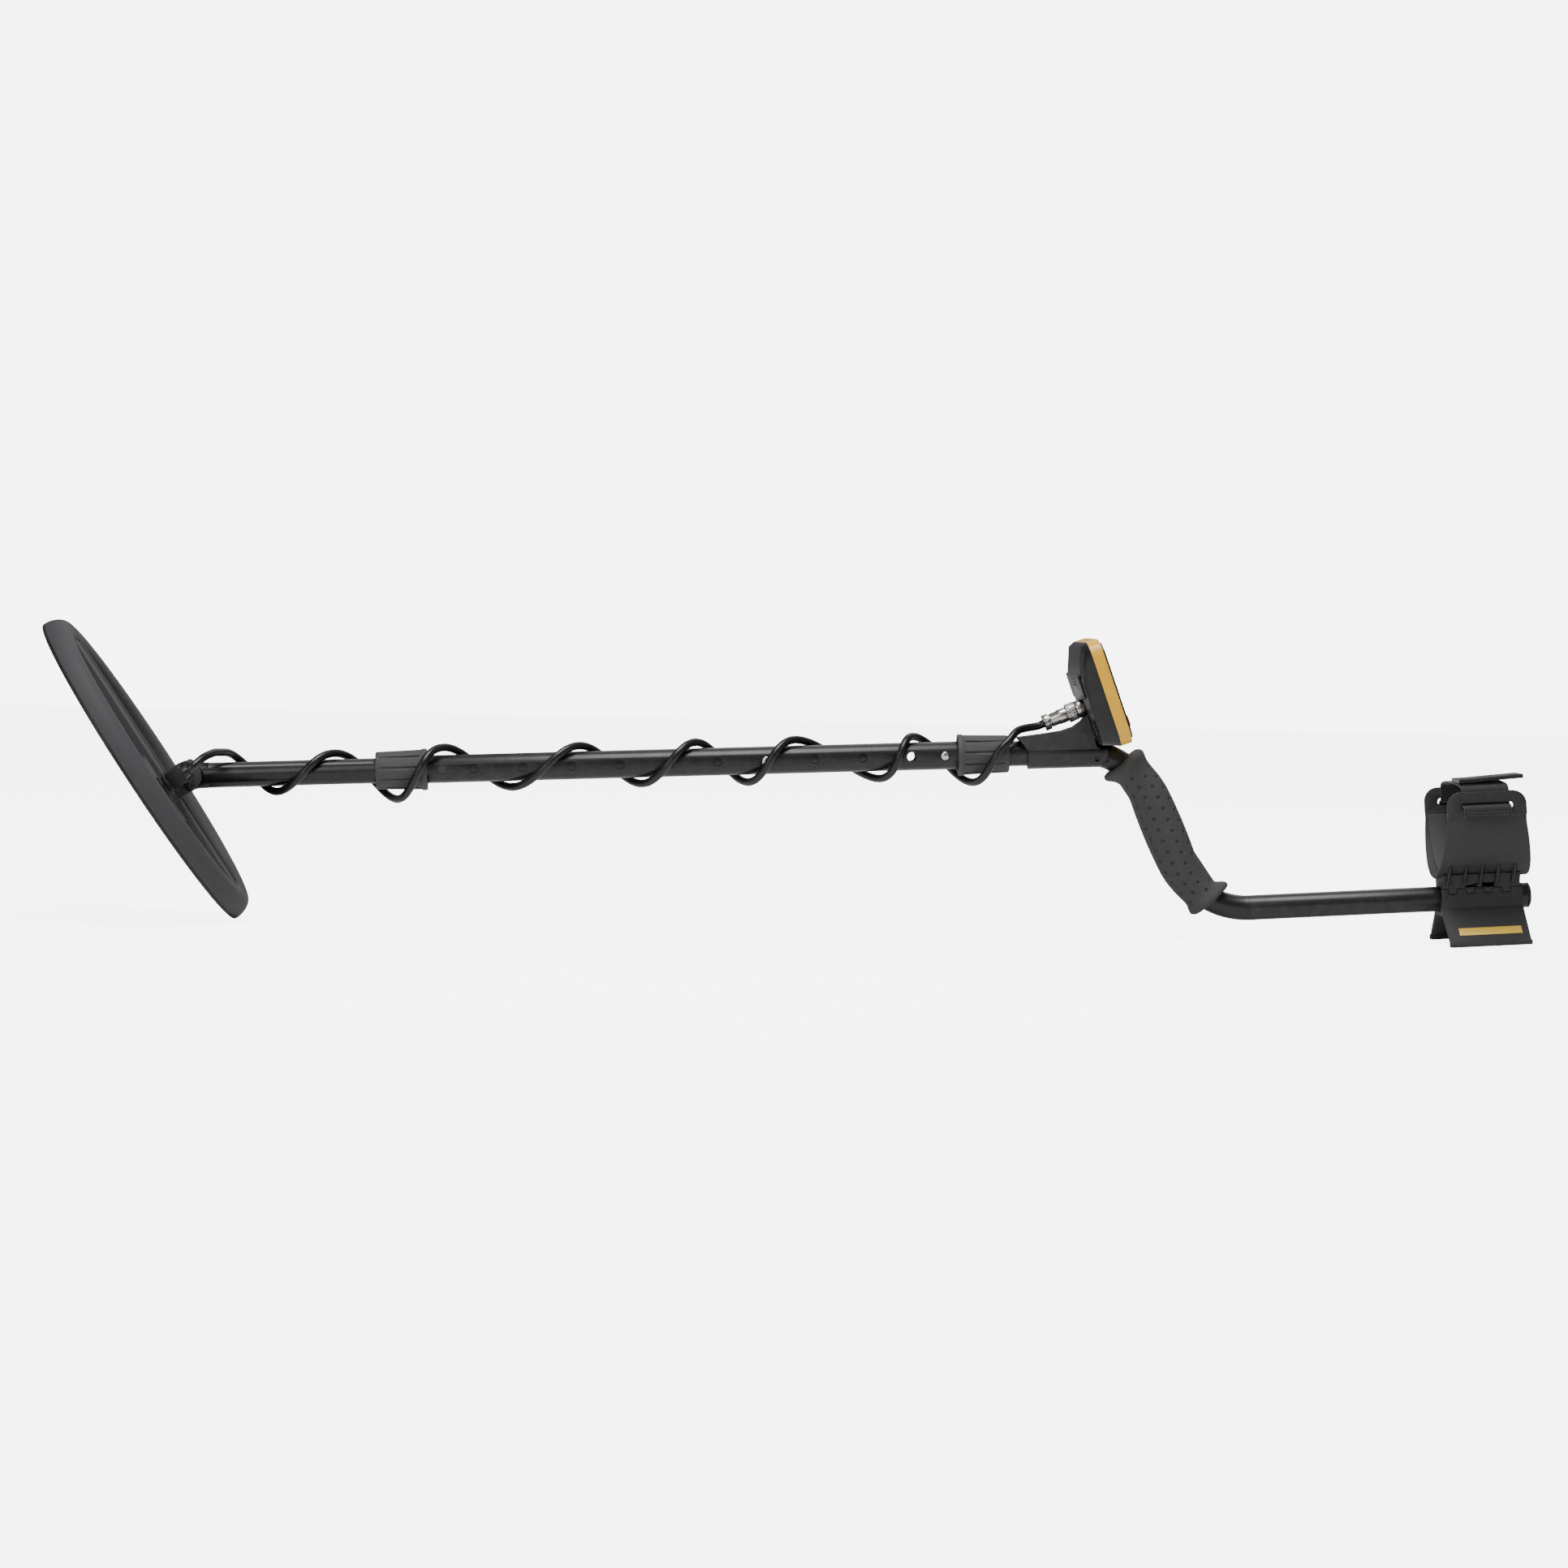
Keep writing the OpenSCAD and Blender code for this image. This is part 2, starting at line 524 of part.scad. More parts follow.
module battery_door() color([0.045, 0.045, 0.05]) on_box() {
  translate([0, 0, 11.2]) tile(90, 20.4, 3, back_x - 1.7, back_x - 0.05);
  for (z = [12:2.4:18]) translate([0, 0, z]) bar(back_x - 2.2, back_x - 1.4, -10, 10, -0.5, 0.5);
}
module case_screws() color([0.5, 0.5, 0.52]) on_box() cover_screw_places() {
  rod(2, -7, -4.5);
  rod(1.2, -4.5, 4);
}
module key(i) on_box() translate([0, key_names_y[i], key_z]) {
  tile(key_w, key_h, 3, face_x - 2.4, panel_x + 1.6);
  tile(key_w + 3, key_h + 3, 4, face_x - 3.6, face_x - 2.4);
}
module key_power() color([0.75, 0.2, 0.12]) key(0);
module key_mode() color([0.2, 0.2, 0.21]) key(1);
module key_notch() color([0.2, 0.2, 0.21]) key(2);
module key_minus() color([0.2, 0.2, 0.21]) key(3);
module key_plus() color([0.2, 0.2, 0.21]) key(4);
module key_pinpoint() color([0.95, 0.7, 0.1]) key(5);

// ---- Coil socket, headphone jack and plug
module coil_socket() color([0.7, 0.7, 0.72]) on_plug() {
  rod(7.2, -6.9, -0.5);
  rod(6, -0.6, 8);
  rod(5.2, -11.4, -6.8);
}
module headphone_jack() color([0.06, 0.06, 0.06]) on_box() translate([0, -38, -24]) difference() {
  union() {
    rod(4.1, back_x - 0.5, 5);
    rod(6, back_x - 1.5, back_x - 0.05);
  }
  rod(3.2, back_x - 2, 3.5);
}
module coupling_nut() color([0.72, 0.72, 0.74]) on_plug() difference() {
  pipe(7.6, 5.25, -14.9, -7.2);
  for (i = [0:23]) rotate([15 * i, 0, 0]) bar(-13.9, -8.4, -0.35, 0.35, 7.2, 9);
}
module plug_shell() color([0.74, 0.74, 0.76]) on_plug() difference() {
  union() {
    rod(5, -18, -12.4);
    rod(6, -22.6, -15.1);
    rod(5.5, -28.8, -22);
  }
  rod(cable_r + 0.4, -30, -23);
}
module plug_clamp() color([0.7, 0.7, 0.72]) on_plug() difference() {
  union() {
    pipe(5, cable_r + 0.3, -30.4, -28.8);
    pipe(6.5, cable_r + 0.3, -35, -30);
    mirrored_y() bar(-34.6, -30.6, 3.6, 8.2, -2, 2);
  }
  bar(-36, -29.8, -9, 9, -0.4, 0.4);
}

// ---- Arm cuff, stand and strap
module across(x0, x1) translate([x0, 0, 0]) rotate([90, 0, 90]) linear_extrude(x1 - x0) children();
// Outline of a U trough in the YZ plane
trough_n = 40;
module trough(r, top) polygon(concat(
  [[-r, top]],
  [for (i = [0:trough_n]) let (a = 180 * i / trough_n) [-r * cos(a), cradle_z - r * sin(a)]],
  [[r, top]]
));
module cuff_side_outline() translate([cuff_s, 0, 0]) rotate([90, 0, 0])
  linear_extrude(140, center = true) {
    translate([cuff_len / 2, cradle_top / 2 - 15]) rounded(cuff_len, cradle_top + 30, 11);
    polygon([
      [0, flare_top], [-flare_front, flare_foot], [-flare_front, 0],
      [cuff_len + flare_rear, 0], [cuff_len + flare_rear, flare_foot], [cuff_len, flare_top]
    ]);
  }
flare_top = 62;
flare_foot = 20;
flare_front = 4;
flare_rear = 7;
comb_pitch = 14.2;
comb_wall = 16.4;
ledge_z = 8.6;
// Teeth of the cuff's ledge, which drop into the notches of the stand's walls
module comb_teeth(grow) for (i = [0:3]) translate([cuff_s + 5.2 + i * comb_pitch, 0, 0])
  mirrored_y() bar(-grow, 6.8 + grow, 13 - grow, comb_wall - grow, 4.4 - grow, ledge_z + 0.5);
module cuff_rib() across(0, 2.6) polygon([
  [15, ledge_z + 1], [comb_wall - 0.4, ledge_z + 1], [33.5, 28.5], [24, 24]
]);
module arm_cuff() color([0.07, 0.07, 0.075]) on_rear() difference() {
  union() {
    intersection() {
      across(cuff_s - 8, cuff_s + cuff_len + 12) difference() {
        union() {
          trough(cuff_r + cuff_wall, cradle_top + 1);
          intersection() {
            trough(cuff_r + cuff_wall + 1.6, cradle_top + 1);
            translate([-70, band_z]) square([140, 40]);
          }
        }
        trough(cuff_r, cradle_top + 5);
      }
      cuff_side_outline();
    }
    across(cuff_s + 0.4, cuff_s + cuff_len - 0.4) polygon([
      [-13.4, 0.2], [13.4, 0.2], [13.4, ledge_z], [comb_wall, ledge_z], [comb_wall, 13],
      [21, 20], [9, cradle_z - cuff_r - 1.4], [-9, cradle_z - cuff_r - 1.4], [-21, 20],
      [-comb_wall, 13], [-comb_wall, ledge_z], [-13.4, ledge_z]
    ]);
    for (i = [0:4]) translate([cuff_s + 3 + i * 13, 0, 0]) mirrored_y() cuff_rib();
    comb_teeth(0);
  }
  rod(stem_r + 0.05, cuff_s - 5, cuff_s + cuff_len + 5);
  mirrored_y() translate([cuff_s + cuff_len / 2, 60, slot_z]) rotate([90, 0, 0])
    linear_extrude(20) rounded(42, 5.4, 2.6);
  translate([cuff_bolt_s, 0, 0]) cylinder(r = 2.7, h = 25);
  translate([cuff_bolt_s, 0, cradle_z - cuff_r - 2.6]) cylinder(r = 5.4, h = 6);
}
module cuff_liner() color([0.14, 0.14, 0.145]) on_rear() difference() {
  across(cuff_s + 2, cuff_s + cuff_len - 3) difference() {
    trough(cuff_r - 0.1, cradle_z - 2);
    trough(cuff_r - 2.1, cradle_z + 5);
    translate([-70, cradle_z - 3]) square([140, 20]);
  }
  translate([cuff_bolt_s, 0, 10]) cylinder(r = 6.5, h = 20);
}
module cuff_stand() color([0.06, 0.06, 0.065]) on_rear() difference() {
  across(stand_s, stand_s + stand_len) polygon([
    [-comb_wall, 8.4], [-comb_wall, -7], [-45, 4 - stand_base], [-50, 4 - stand_base],
    [-50, -stand_base], [-41, -stand_base], [-41.6, 3.4 - stand_base], [-14.5, -13.6],
    [14.5, -13.6], [41.6, 3.4 - stand_base], [41, -stand_base], [50, -stand_base],
    [50, 4 - stand_base], [45, 4 - stand_base], [comb_wall, -7], [comb_wall, 8.4],
    [13.6, 8.4], [13.6, 0], [-13.6, 0], [-13.6, 8.4]
  ]);
  rod(stem_r + 0.05, stand_s - 5, stand_s + stand_len + 5);
  mirrored_y() for (i = [0:3]) translate([cuff_s + 5.2 + i * comb_pitch, 0, 0])
    bar(-0.15, 6.95, 12, 18, 4.2, 12);
  translate([cuff_bolt_s, 0, -30]) cylinder(r = 2.7, h = 30);
}
// Plain bar printed on the right foot
bar_lean = atan2(45 - comb_wall, stand_base - 11);
module maker_bar() color([0.95, 0.75, 0.1]) on_rear()
  translate([stand_s + 9, -comb_wall, -7]) rotate([-bar_lean, 0, 0])
  bar(0, 50, -0.45, -0.05, -31, -23);
module cuff_bolt() color([0.65, 0.65, 0.67]) on_rear() translate([cuff_bolt_s, 0, 0]) {
  translate([0, 0, -19.5]) cylinder(r = 2.5, h = 19.5 + cradle_z - cuff_r - 2.5);
  translate([0, 0, cradle_z - cuff_r - 2.5]) cylinder(r = 5, h = 2.2);
  translate([0, 0, -18]) cylinder(r = 5.2, h = 4.3, $fn = 6);
}
strap_w = 38;
strap_t = 1.6;
// Middle line of the webbing across the cuff, and its outline either side of it
strap_path = [
  [-56.4, 66.5], [-56.4, 73.4], [-54.8, 75.4], [-49.6, 75.6], [-47.2, 78], [-46.8, 87], [-43, 91],
  [-24, 92.4], [0, 93], [24, 92.4], [43, 91], [46.8, 87], [47.2, 78], [49.6, 75.6],
  [54.8, 75.4], [56.4, 73.4], [56.4, 66.5]
];
function strap_run(i) = strap_path[min(len(strap_path) - 1, i + 1)] - strap_path[max(0, i - 1)];
function strap_edge(i, side) = let (r = strap_run(i))
  strap_path[i] + side * strap_t / 2 * [-r[1], r[0]] / norm(r);
module strap() color([0.05, 0.05, 0.05]) on_rear()
  across(cuff_s + cuff_len / 2 - strap_w / 2, cuff_s + cuff_len / 2 + strap_w / 2)
  polygon(concat(
    [for (i = [0:len(strap_path) - 1]) strap_edge(i, 1)],
    [for (i = [len(strap_path) - 1:-1:0]) strap_edge(i, -1)]
  ));

// ---- Coil cable, wound round the shaft
function smooth(a, b, c, d, t) = 0.5 * (2 * b + (c - a) * t + (2 * a - 5 * b + 4 * c - d) * t * t
  + (3 * b - a - 3 * c + d) * t * t * t);
function knot(i) = cable_route[max(0, min(len(cable_route) - 1, i))];
function route_at(k, t) = smooth(knot(k - 1), knot(k), knot(k + 1), knot(k + 2), t);
function on_axis(p) = [p[0], -p[2] * sin(p[1]), -p[2] * cos(p[1])];
// Points from knot a to knot b, about one for each 36 degrees of turn
function steps(k) = max(1, min(5, round((knot(k + 1)[1] - knot(k)[1]) / 36)));
function route_points(a, b) = [for (k = [a:b - 1]) for (j = [0:steps(k) - 1])
  on_axis(route_at(k, j / steps(k))), on_axis(knot(b))];
module cable(a, b) {
  pts = route_points(a, b);
  m = len(pts);
  n = cable_sides;
  // The neighbours past each end, so that two stretches meet in one ring
  before = a > 0 ? on_axis(route_at(a - 1, 1 - 1 / steps(a - 1))) : pts[0];
  after = b < len(cable_route) - 1 ? on_axis(route_at(b, 1 / steps(b))) : pts[m - 1];
  function along(i) = let (d = (i < m - 1 ? pts[i + 1] : after) - (i > 0 ? pts[i - 1] : before))
    d / norm(d);
  function ring(i) = let (
      w = along(i),
      u0 = cross(w, [0, -pts[i][2], pts[i][1]]),
      u = u0 / norm(u0),
      v = cross(w, u)
    ) [for (q = [0:n - 1]) pts[i] + cable_r * (u * cos(360 * q / n) + v * sin(360 * q / n))];
  faces = [for (i = [0:m - 2]) for (q = [0:n - 1])
    [i * n + q, i * n + (q + 1) % n, (i + 1) * n + (q + 1) % n, (i + 1) * n + q]];
  start_face = [for (q = [n - 1:-1:0]) q];
  end_face = [for (q = [0:n - 1]) (m - 1) * n + q];
  on_shaft() polyhedron([for (i = [0:m - 1]) each ring(i)], concat([start_face], faces, [end_face]));
}
module cable_front() color([0.04, 0.04, 0.04]) cable(0, front_end);
module cable_middle() color([0.04, 0.04, 0.04]) cable(front_end, middle_end_knot);
module cable_rear() color([0.04, 0.04, 0.04]) cable(middle_end_knot, len(cable_route) - 1);

coil_shell();
coil_cover();
transmit_winding();
receive_winding();
cable_gland();
gland_nut();
tilt_bolt();
left_wing_nut();
right_wing_nut();
stem_washers();
lower_stem();
lower_spring_clip();
lower_button_left();
lower_button_right();
middle_tube();
lower_lock_sleeve();
lower_collet();
lower_collar();
upper_lock_sleeve();
upper_collet();
upper_collar();
handle_tube();
upper_spring_clip();
upper_button_left();
upper_button_right();
grip();
tube_end_cap();
saddle_lower();
saddle_upper();
back_cover();
front_bezel();
front_panel();
display_window();
display_module();
circuit_board();
speaker();
battery_tray();
battery_cells();
battery_door();
case_screws();
key_power();
key_mode();
key_notch();
key_minus();
key_plus();
key_pinpoint();
coil_socket();
headphone_jack();
plug_shell();
coupling_nut();
plug_clamp();
arm_cuff();
cuff_liner();
cuff_stand();
maker_bar();
cuff_bolt();
strap();
cable_front();
cable_middle();
cable_rear();
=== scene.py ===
"""Looks of a metal detector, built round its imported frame.

The frame's own solids keep the sizes. Visible ones get a copy with softened edges, and the
coil, the grip, the cable and the strap are meshes of their own. Sizes are in millimetres in
the sub-assemblies' fields, and meshes are in metres.
"""

import json
import logging
import math
from dataclasses import dataclass
from enum import Enum
from typing import Any, Callable, Iterable, Optional, Sequence

import bmesh
import bpy
from mathutils import Matrix, Vector

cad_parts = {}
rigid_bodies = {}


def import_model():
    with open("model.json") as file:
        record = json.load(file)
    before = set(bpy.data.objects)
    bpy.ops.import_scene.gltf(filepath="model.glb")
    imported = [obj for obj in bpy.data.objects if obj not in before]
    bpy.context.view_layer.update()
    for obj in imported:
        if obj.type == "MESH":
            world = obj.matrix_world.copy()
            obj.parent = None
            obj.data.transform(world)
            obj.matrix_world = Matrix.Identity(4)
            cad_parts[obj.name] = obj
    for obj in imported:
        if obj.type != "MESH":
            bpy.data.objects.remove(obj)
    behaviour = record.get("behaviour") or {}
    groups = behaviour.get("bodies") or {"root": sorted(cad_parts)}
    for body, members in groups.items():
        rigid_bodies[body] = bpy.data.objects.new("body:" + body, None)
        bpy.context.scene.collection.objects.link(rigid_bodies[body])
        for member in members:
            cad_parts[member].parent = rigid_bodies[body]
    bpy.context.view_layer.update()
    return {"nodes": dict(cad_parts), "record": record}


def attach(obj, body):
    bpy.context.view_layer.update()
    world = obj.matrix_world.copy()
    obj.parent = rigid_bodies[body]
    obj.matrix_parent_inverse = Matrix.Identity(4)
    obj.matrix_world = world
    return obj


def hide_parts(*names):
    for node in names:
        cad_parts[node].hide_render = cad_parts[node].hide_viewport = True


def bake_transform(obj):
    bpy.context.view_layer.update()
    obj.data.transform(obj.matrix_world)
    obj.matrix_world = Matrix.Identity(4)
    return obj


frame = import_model()

log = logging.getLogger("metal_detector")

MM = 0.001
SHARP = 38.0  # an edge past this many degrees stays sharp
WELD = 2e-6  # vertices nearer than this many metres are one
FLAT = 0.6  # faces within this many degrees of each other are one
STRAY = 0.0002  # a rounding that grows a piece by this many metres is dropped
WHITE = (1.0, 1.0, 1.0, 1.0)
DUST_COLOUR = (0.2, 0.19, 0.175, 1.0)
Point = tuple[float, float, float]
Colour = tuple[float, float, float]


# ---------------------------------------------------------------- places


def turned(origin: Point, degrees: float) -> Matrix:
    """A frame at origin, in millimetres, turned about Y."""
    place = Matrix.Translation(Vector(origin) * MM)
    return place @ Matrix.Rotation(math.radians(degrees), 4, "Y")


def at(place: Matrix, x: float, y: float, z: float) -> Vector:
    """The world's point, in metres, for a frame's point in millimetres."""
    return place @ (Vector((x, y, z)) * MM)


def way(place: Matrix, x: float, y: float, z: float) -> Vector:
    """A direction of a frame, as the world sees it."""
    return place.to_3x3() @ Vector((x, y, z))


def ellipse(place: Matrix, a: float, b: float, x: float, z: float, count: int) -> list[Vector]:
    """A level ellipse with half axes a and b about (x, 0, z) of a frame."""
    turns = [2 * math.pi * i / count for i in range(count)]
    return [at(place, x + a * math.cos(t), b * math.sin(t), z) for t in turns]


PIVOT = (-479.3, 0.0, 114.3)
SHAFT_RISE = 2.7
REAR_RISE = 3.75
GRIP_FALL = 65.9
COIL_TILT = 56.0
CORNER_S = 749.7
GRIP_LEG = 138.6
BEND_R = 60.0


def along(start: Point, degrees: float, distance: float) -> Point:
    """The point at a distance from start, on a line that falls by degrees."""
    a = math.radians(degrees)
    return (start[0] + distance * math.cos(a), start[1], start[2] - distance * math.sin(a))


CORNER_1 = along(PIVOT, -SHAFT_RISE, CORNER_S)
CORNER_2 = along(CORNER_1, GRIP_FALL, GRIP_LEG)
ON_SHAFT = turned(PIVOT, -SHAFT_RISE)
ON_COIL = turned(PIVOT, COIL_TILT)
ON_REAR = turned(CORNER_2, -REAR_RISE)
ON_BOX = turned((238.3, 0.0, 193.5), -20.0)
ON_PLUG = ON_BOX @ turned((-9.4, 0.0, -6.9), -3.5)


# ---------------------------------------------------------------- node trees


class Graph:
    """One node tree, with short calls that add nodes, sockets and links."""

    def __init__(self, tree: bpy.types.NodeTree) -> None:
        """Takes the tree to fill."""
        self.tree = tree

    def add(self, kind: str, inputs: Optional[dict] = None, **settings: Any) -> bpy.types.Node:
        """Adds a node.

        Args:
            kind: The node's type name.
            inputs: Values or sockets for its inputs, by name or number.
            settings: The node's own properties.

        Returns:
            The node.
        """
        node = self.tree.nodes.new(kind)
        for key, value in settings.items():
            setattr(node, key, value)
        for key, value in (inputs or {}).items():
            if isinstance(value, bpy.types.NodeSocket):
                self.tree.links.new(value, node.inputs[key])
            else:
                node.inputs[key].default_value = value
        return node

    def math(self, operation: str, *values: Any, clamp: bool = False) -> bpy.types.NodeSocket:
        """Adds a Math node of either kind of tree and returns its result."""
        node = self.add(
            "ShaderNodeMath", dict(enumerate(values)), operation=operation, use_clamp=clamp
        )
        return node.outputs[0]

    def mix(self, share: Any, a: Any, b: Any, blend: str = "MIX") -> bpy.types.NodeSocket:
        """Mixes two colours and returns the result."""
        node = self.add(
            "ShaderNodeMix", {0: share, 6: a, 7: b}, data_type="RGBA", blend_type=blend
        )
        return node.outputs[2]

    def spread(self, value: Any, low: float, high: float, to_low: float, to_high: float) -> Any:
        """Maps a value from one range to another, held at the ends."""
        node = self.add(
            "ShaderNodeMapRange",
            {0: value, 1: low, 2: high, 3: to_low, 4: to_high},
        )
        return node.outputs[0]


def new_group(
    name: str, kind: str, takes: dict[str, tuple[str, Any]], gives: dict[str, str]
) -> tuple[Graph, bpy.types.Node, bpy.types.Node]:
    """Makes an empty node group with named sockets.

    Args:
        name: The group's name.
        kind: "ShaderNodeTree" or "GeometryNodeTree".
        takes: Each input's socket type and default value, or None for no default.
        gives: Each output's socket type.

    Returns:
        The graph, its input node and its output node.
    """
    tree = bpy.data.node_groups.new(name, kind)
    for label, (socket_type, default) in takes.items():
        socket = tree.interface.new_socket(name=label, in_out="INPUT", socket_type=socket_type)
        if default is not None:
            socket.default_value = default
    for label, socket_type in gives.items():
        tree.interface.new_socket(name=label, in_out="OUTPUT", socket_type=socket_type)
    graph = Graph(tree)
    return graph, graph.add("NodeGroupInput"), graph.add("NodeGroupOutput")


FLOAT = "NodeSocketFloat"
VECTOR = "NodeSocketVector"


class ShaderGroups:
    """The shader node groups that the finishes share, each built once."""

    def __init__(self) -> None:
        """Builds every group."""
        self.grain = self._grain()
        self.edge_wear = self._edge_wear()
        self.dust = self._dust()
        self.weave = self._weave()
        self.pores = self._pores()

    @staticmethod
    def _grain() -> bpy.types.NodeTree:
        """Moulded or painted grain: a fine stipple over slow blotches."""
        g, takes, gives = new_group(
            "moulded_grain",
            "ShaderNodeTree",
            {
                "Vector": (VECTOR, None),
                "Fine Scale": (FLOAT, 900.0),
                "Blotch Scale": (FLOAT, 30.0),
                "Contrast": (FLOAT, 0.2),
            },
            {"Tone": FLOAT, "Height": FLOAT},
        )
        source = takes.outputs
        fine = g.add(
            "ShaderNodeTexNoise",
            {"Vector": source["Vector"], "Scale": source["Fine Scale"], "Detail": 3.0},
        )
        blotch = g.add(
            "ShaderNodeTexNoise",
            {"Vector": source["Vector"], "Scale": source["Blotch Scale"], "Detail": 4.0},
        )
        fine_share = g.math("MULTIPLY", fine.outputs[0], 0.6)
        both = g.math("ADD", fine_share, g.math("MULTIPLY", blotch.outputs[0], 0.4))
        swing = g.math("MULTIPLY", g.math("SUBTRACT", both, 0.5), source["Contrast"])
        g.tree.links.new(g.math("ADD", swing, 1.0), gives.inputs["Tone"])
        g.tree.links.new(fine.outputs[0], gives.inputs["Height"])
        return g.tree

    @staticmethod
    def _edge_wear() -> bpy.types.NodeTree:
        """Rubbed edges, broken up by noise."""
        g, takes, gives = new_group(
            "edge_wear",
            "ShaderNodeTree",
            {"Vector": (VECTOR, None), "Amount": (FLOAT, 0.5), "Scale": (FLOAT, 120.0)},
            {"Mask": FLOAT},
        )
        source = takes.outputs
        point = g.add("ShaderNodeNewGeometry").outputs["Pointiness"]
        noise = g.add(
            "ShaderNodeTexNoise",
            {"Vector": source["Vector"], "Scale": source["Scale"], "Detail": 6.0},
        )
        edge = g.spread(point, 0.51, 0.56, 0.0, 1.0)
        broken = g.spread(noise.outputs[0], 0.42, 0.66, 0.0, 1.0)
        mask = g.math("MULTIPLY", g.math("MULTIPLY", edge, broken), source["Amount"], clamp=True)
        g.tree.links.new(mask, gives.inputs["Mask"])
        return g.tree

    @staticmethod
    def _dust() -> bpy.types.NodeTree:
        """Thin handling dust in soft patches with specks."""
        g, takes, gives = new_group(
            "handling_dust",
            "ShaderNodeTree",
            {"Vector": (VECTOR, None), "Amount": (FLOAT, 0.1), "Scale": (FLOAT, 18.0)},
            {"Mask": FLOAT},
        )
        source = takes.outputs
        patch = g.add(
            "ShaderNodeTexNoise",
            {"Vector": source["Vector"], "Scale": source["Scale"], "Detail": 5.0},
        )
        specks = g.add(
            "ShaderNodeTexVoronoi",
            {"Vector": source["Vector"], "Scale": g.math("MULTIPLY", source["Scale"], 22.0)},
        )
        speck = g.spread(specks.outputs["Distance"], 0.1, 0.28, 1.0, 0.0)
        soft = g.spread(patch.outputs[0], 0.45, 0.75, 0.0, 1.0)
        both = g.math("ADD", g.math("MULTIPLY", speck, 0.6), soft)
        mask = g.math("MULTIPLY", both, source["Amount"])
        g.tree.links.new(g.math("MINIMUM", mask, 1.0), gives.inputs["Mask"])
        return g.tree

    @staticmethod
    def _weave() -> bpy.types.NodeTree:
        """Webbing: ribs across the band and threads along it, on the piece's own UV map, with
        painted shade darkening the dips between them.
        """
        g, takes, gives = new_group(
            "webbing_weave",
            "ShaderNodeTree",
            {"Vector": (VECTOR, None), "Ribs": (FLOAT, 700.0), "Threads": (FLOAT, 1100.0)},
            {"Tone": FLOAT, "Height": FLOAT},
        )
        source = takes.outputs
        split = g.add("ShaderNodeSeparateXYZ", {0: source["Vector"]})
        half = g.math("MULTIPLY", split.outputs[0], source["Threads"])
        run = g.math("MULTIPLY", split.outputs[1], source["Ribs"])
        row = g.math("MULTIPLY", g.math("FLOOR", g.math("DIVIDE", half, math.pi)), math.pi / 2)
        ribs = g.math("ABSOLUTE", g.math("SINE", g.math("ADD", run, row)))
        threads = g.math("ABSOLUTE", g.math("SINE", half))
        height = g.math("MULTIPLY", ribs, g.math("POWER", threads, 0.5))
        g.tree.links.new(height, gives.inputs["Height"])
        # painted shade: the tone follows the height, so the dips between ribs and threads are
        # darker
        g.tree.links.new(g.spread(height, 0.0, 1.0, 0.55, 1.25), gives.inputs["Tone"])
        return g.tree

    @staticmethod
    def _pores() -> bpy.types.NodeTree:
        """Closed-cell foam skin: small pits of mixed size, each pit darkened with painted shade,
        over slow random tone.
        """
        g, takes, gives = new_group(
            "foam_pores",
            "ShaderNodeTree",
            {"Vector": (VECTOR, None), "Scale": (FLOAT, 1600.0)},
            {"Tone": FLOAT, "Height": FLOAT},
        )
        source = takes.outputs
        cells = g.add(
            "ShaderNodeTexVoronoi", {"Vector": source["Vector"], "Scale": source["Scale"]}
        )
        slow = g.add(
            "ShaderNodeTexNoise", {"Vector": source["Vector"], "Scale": 60.0, "Detail": 4.0}
        )
        height = g.spread(cells.outputs["Distance"], 0.0, 0.45, 0.0, 1.0)
        slow_tone = g.spread(slow.outputs[0], 0.3, 0.7, 0.85, 1.15)
        # painted shade: the tone follows the height, so each pit is darker; slow_tone is random
        # blotching
        tone = g.math("MULTIPLY", g.spread(height, 0.0, 1.0, 0.7, 1.1), slow_tone)
        g.tree.links.new(height, gives.inputs["Height"])
        g.tree.links.new(tone, gives.inputs["Tone"])
        return g.tree


GROUPS = ShaderGroups()


# ---------------------------------------------------------------- finishes


class Surface(Enum):
    """What gives a finish its fine relief."""

    GRAIN = "grain"
    PORES = "pores"
    WEAVE = "weave"


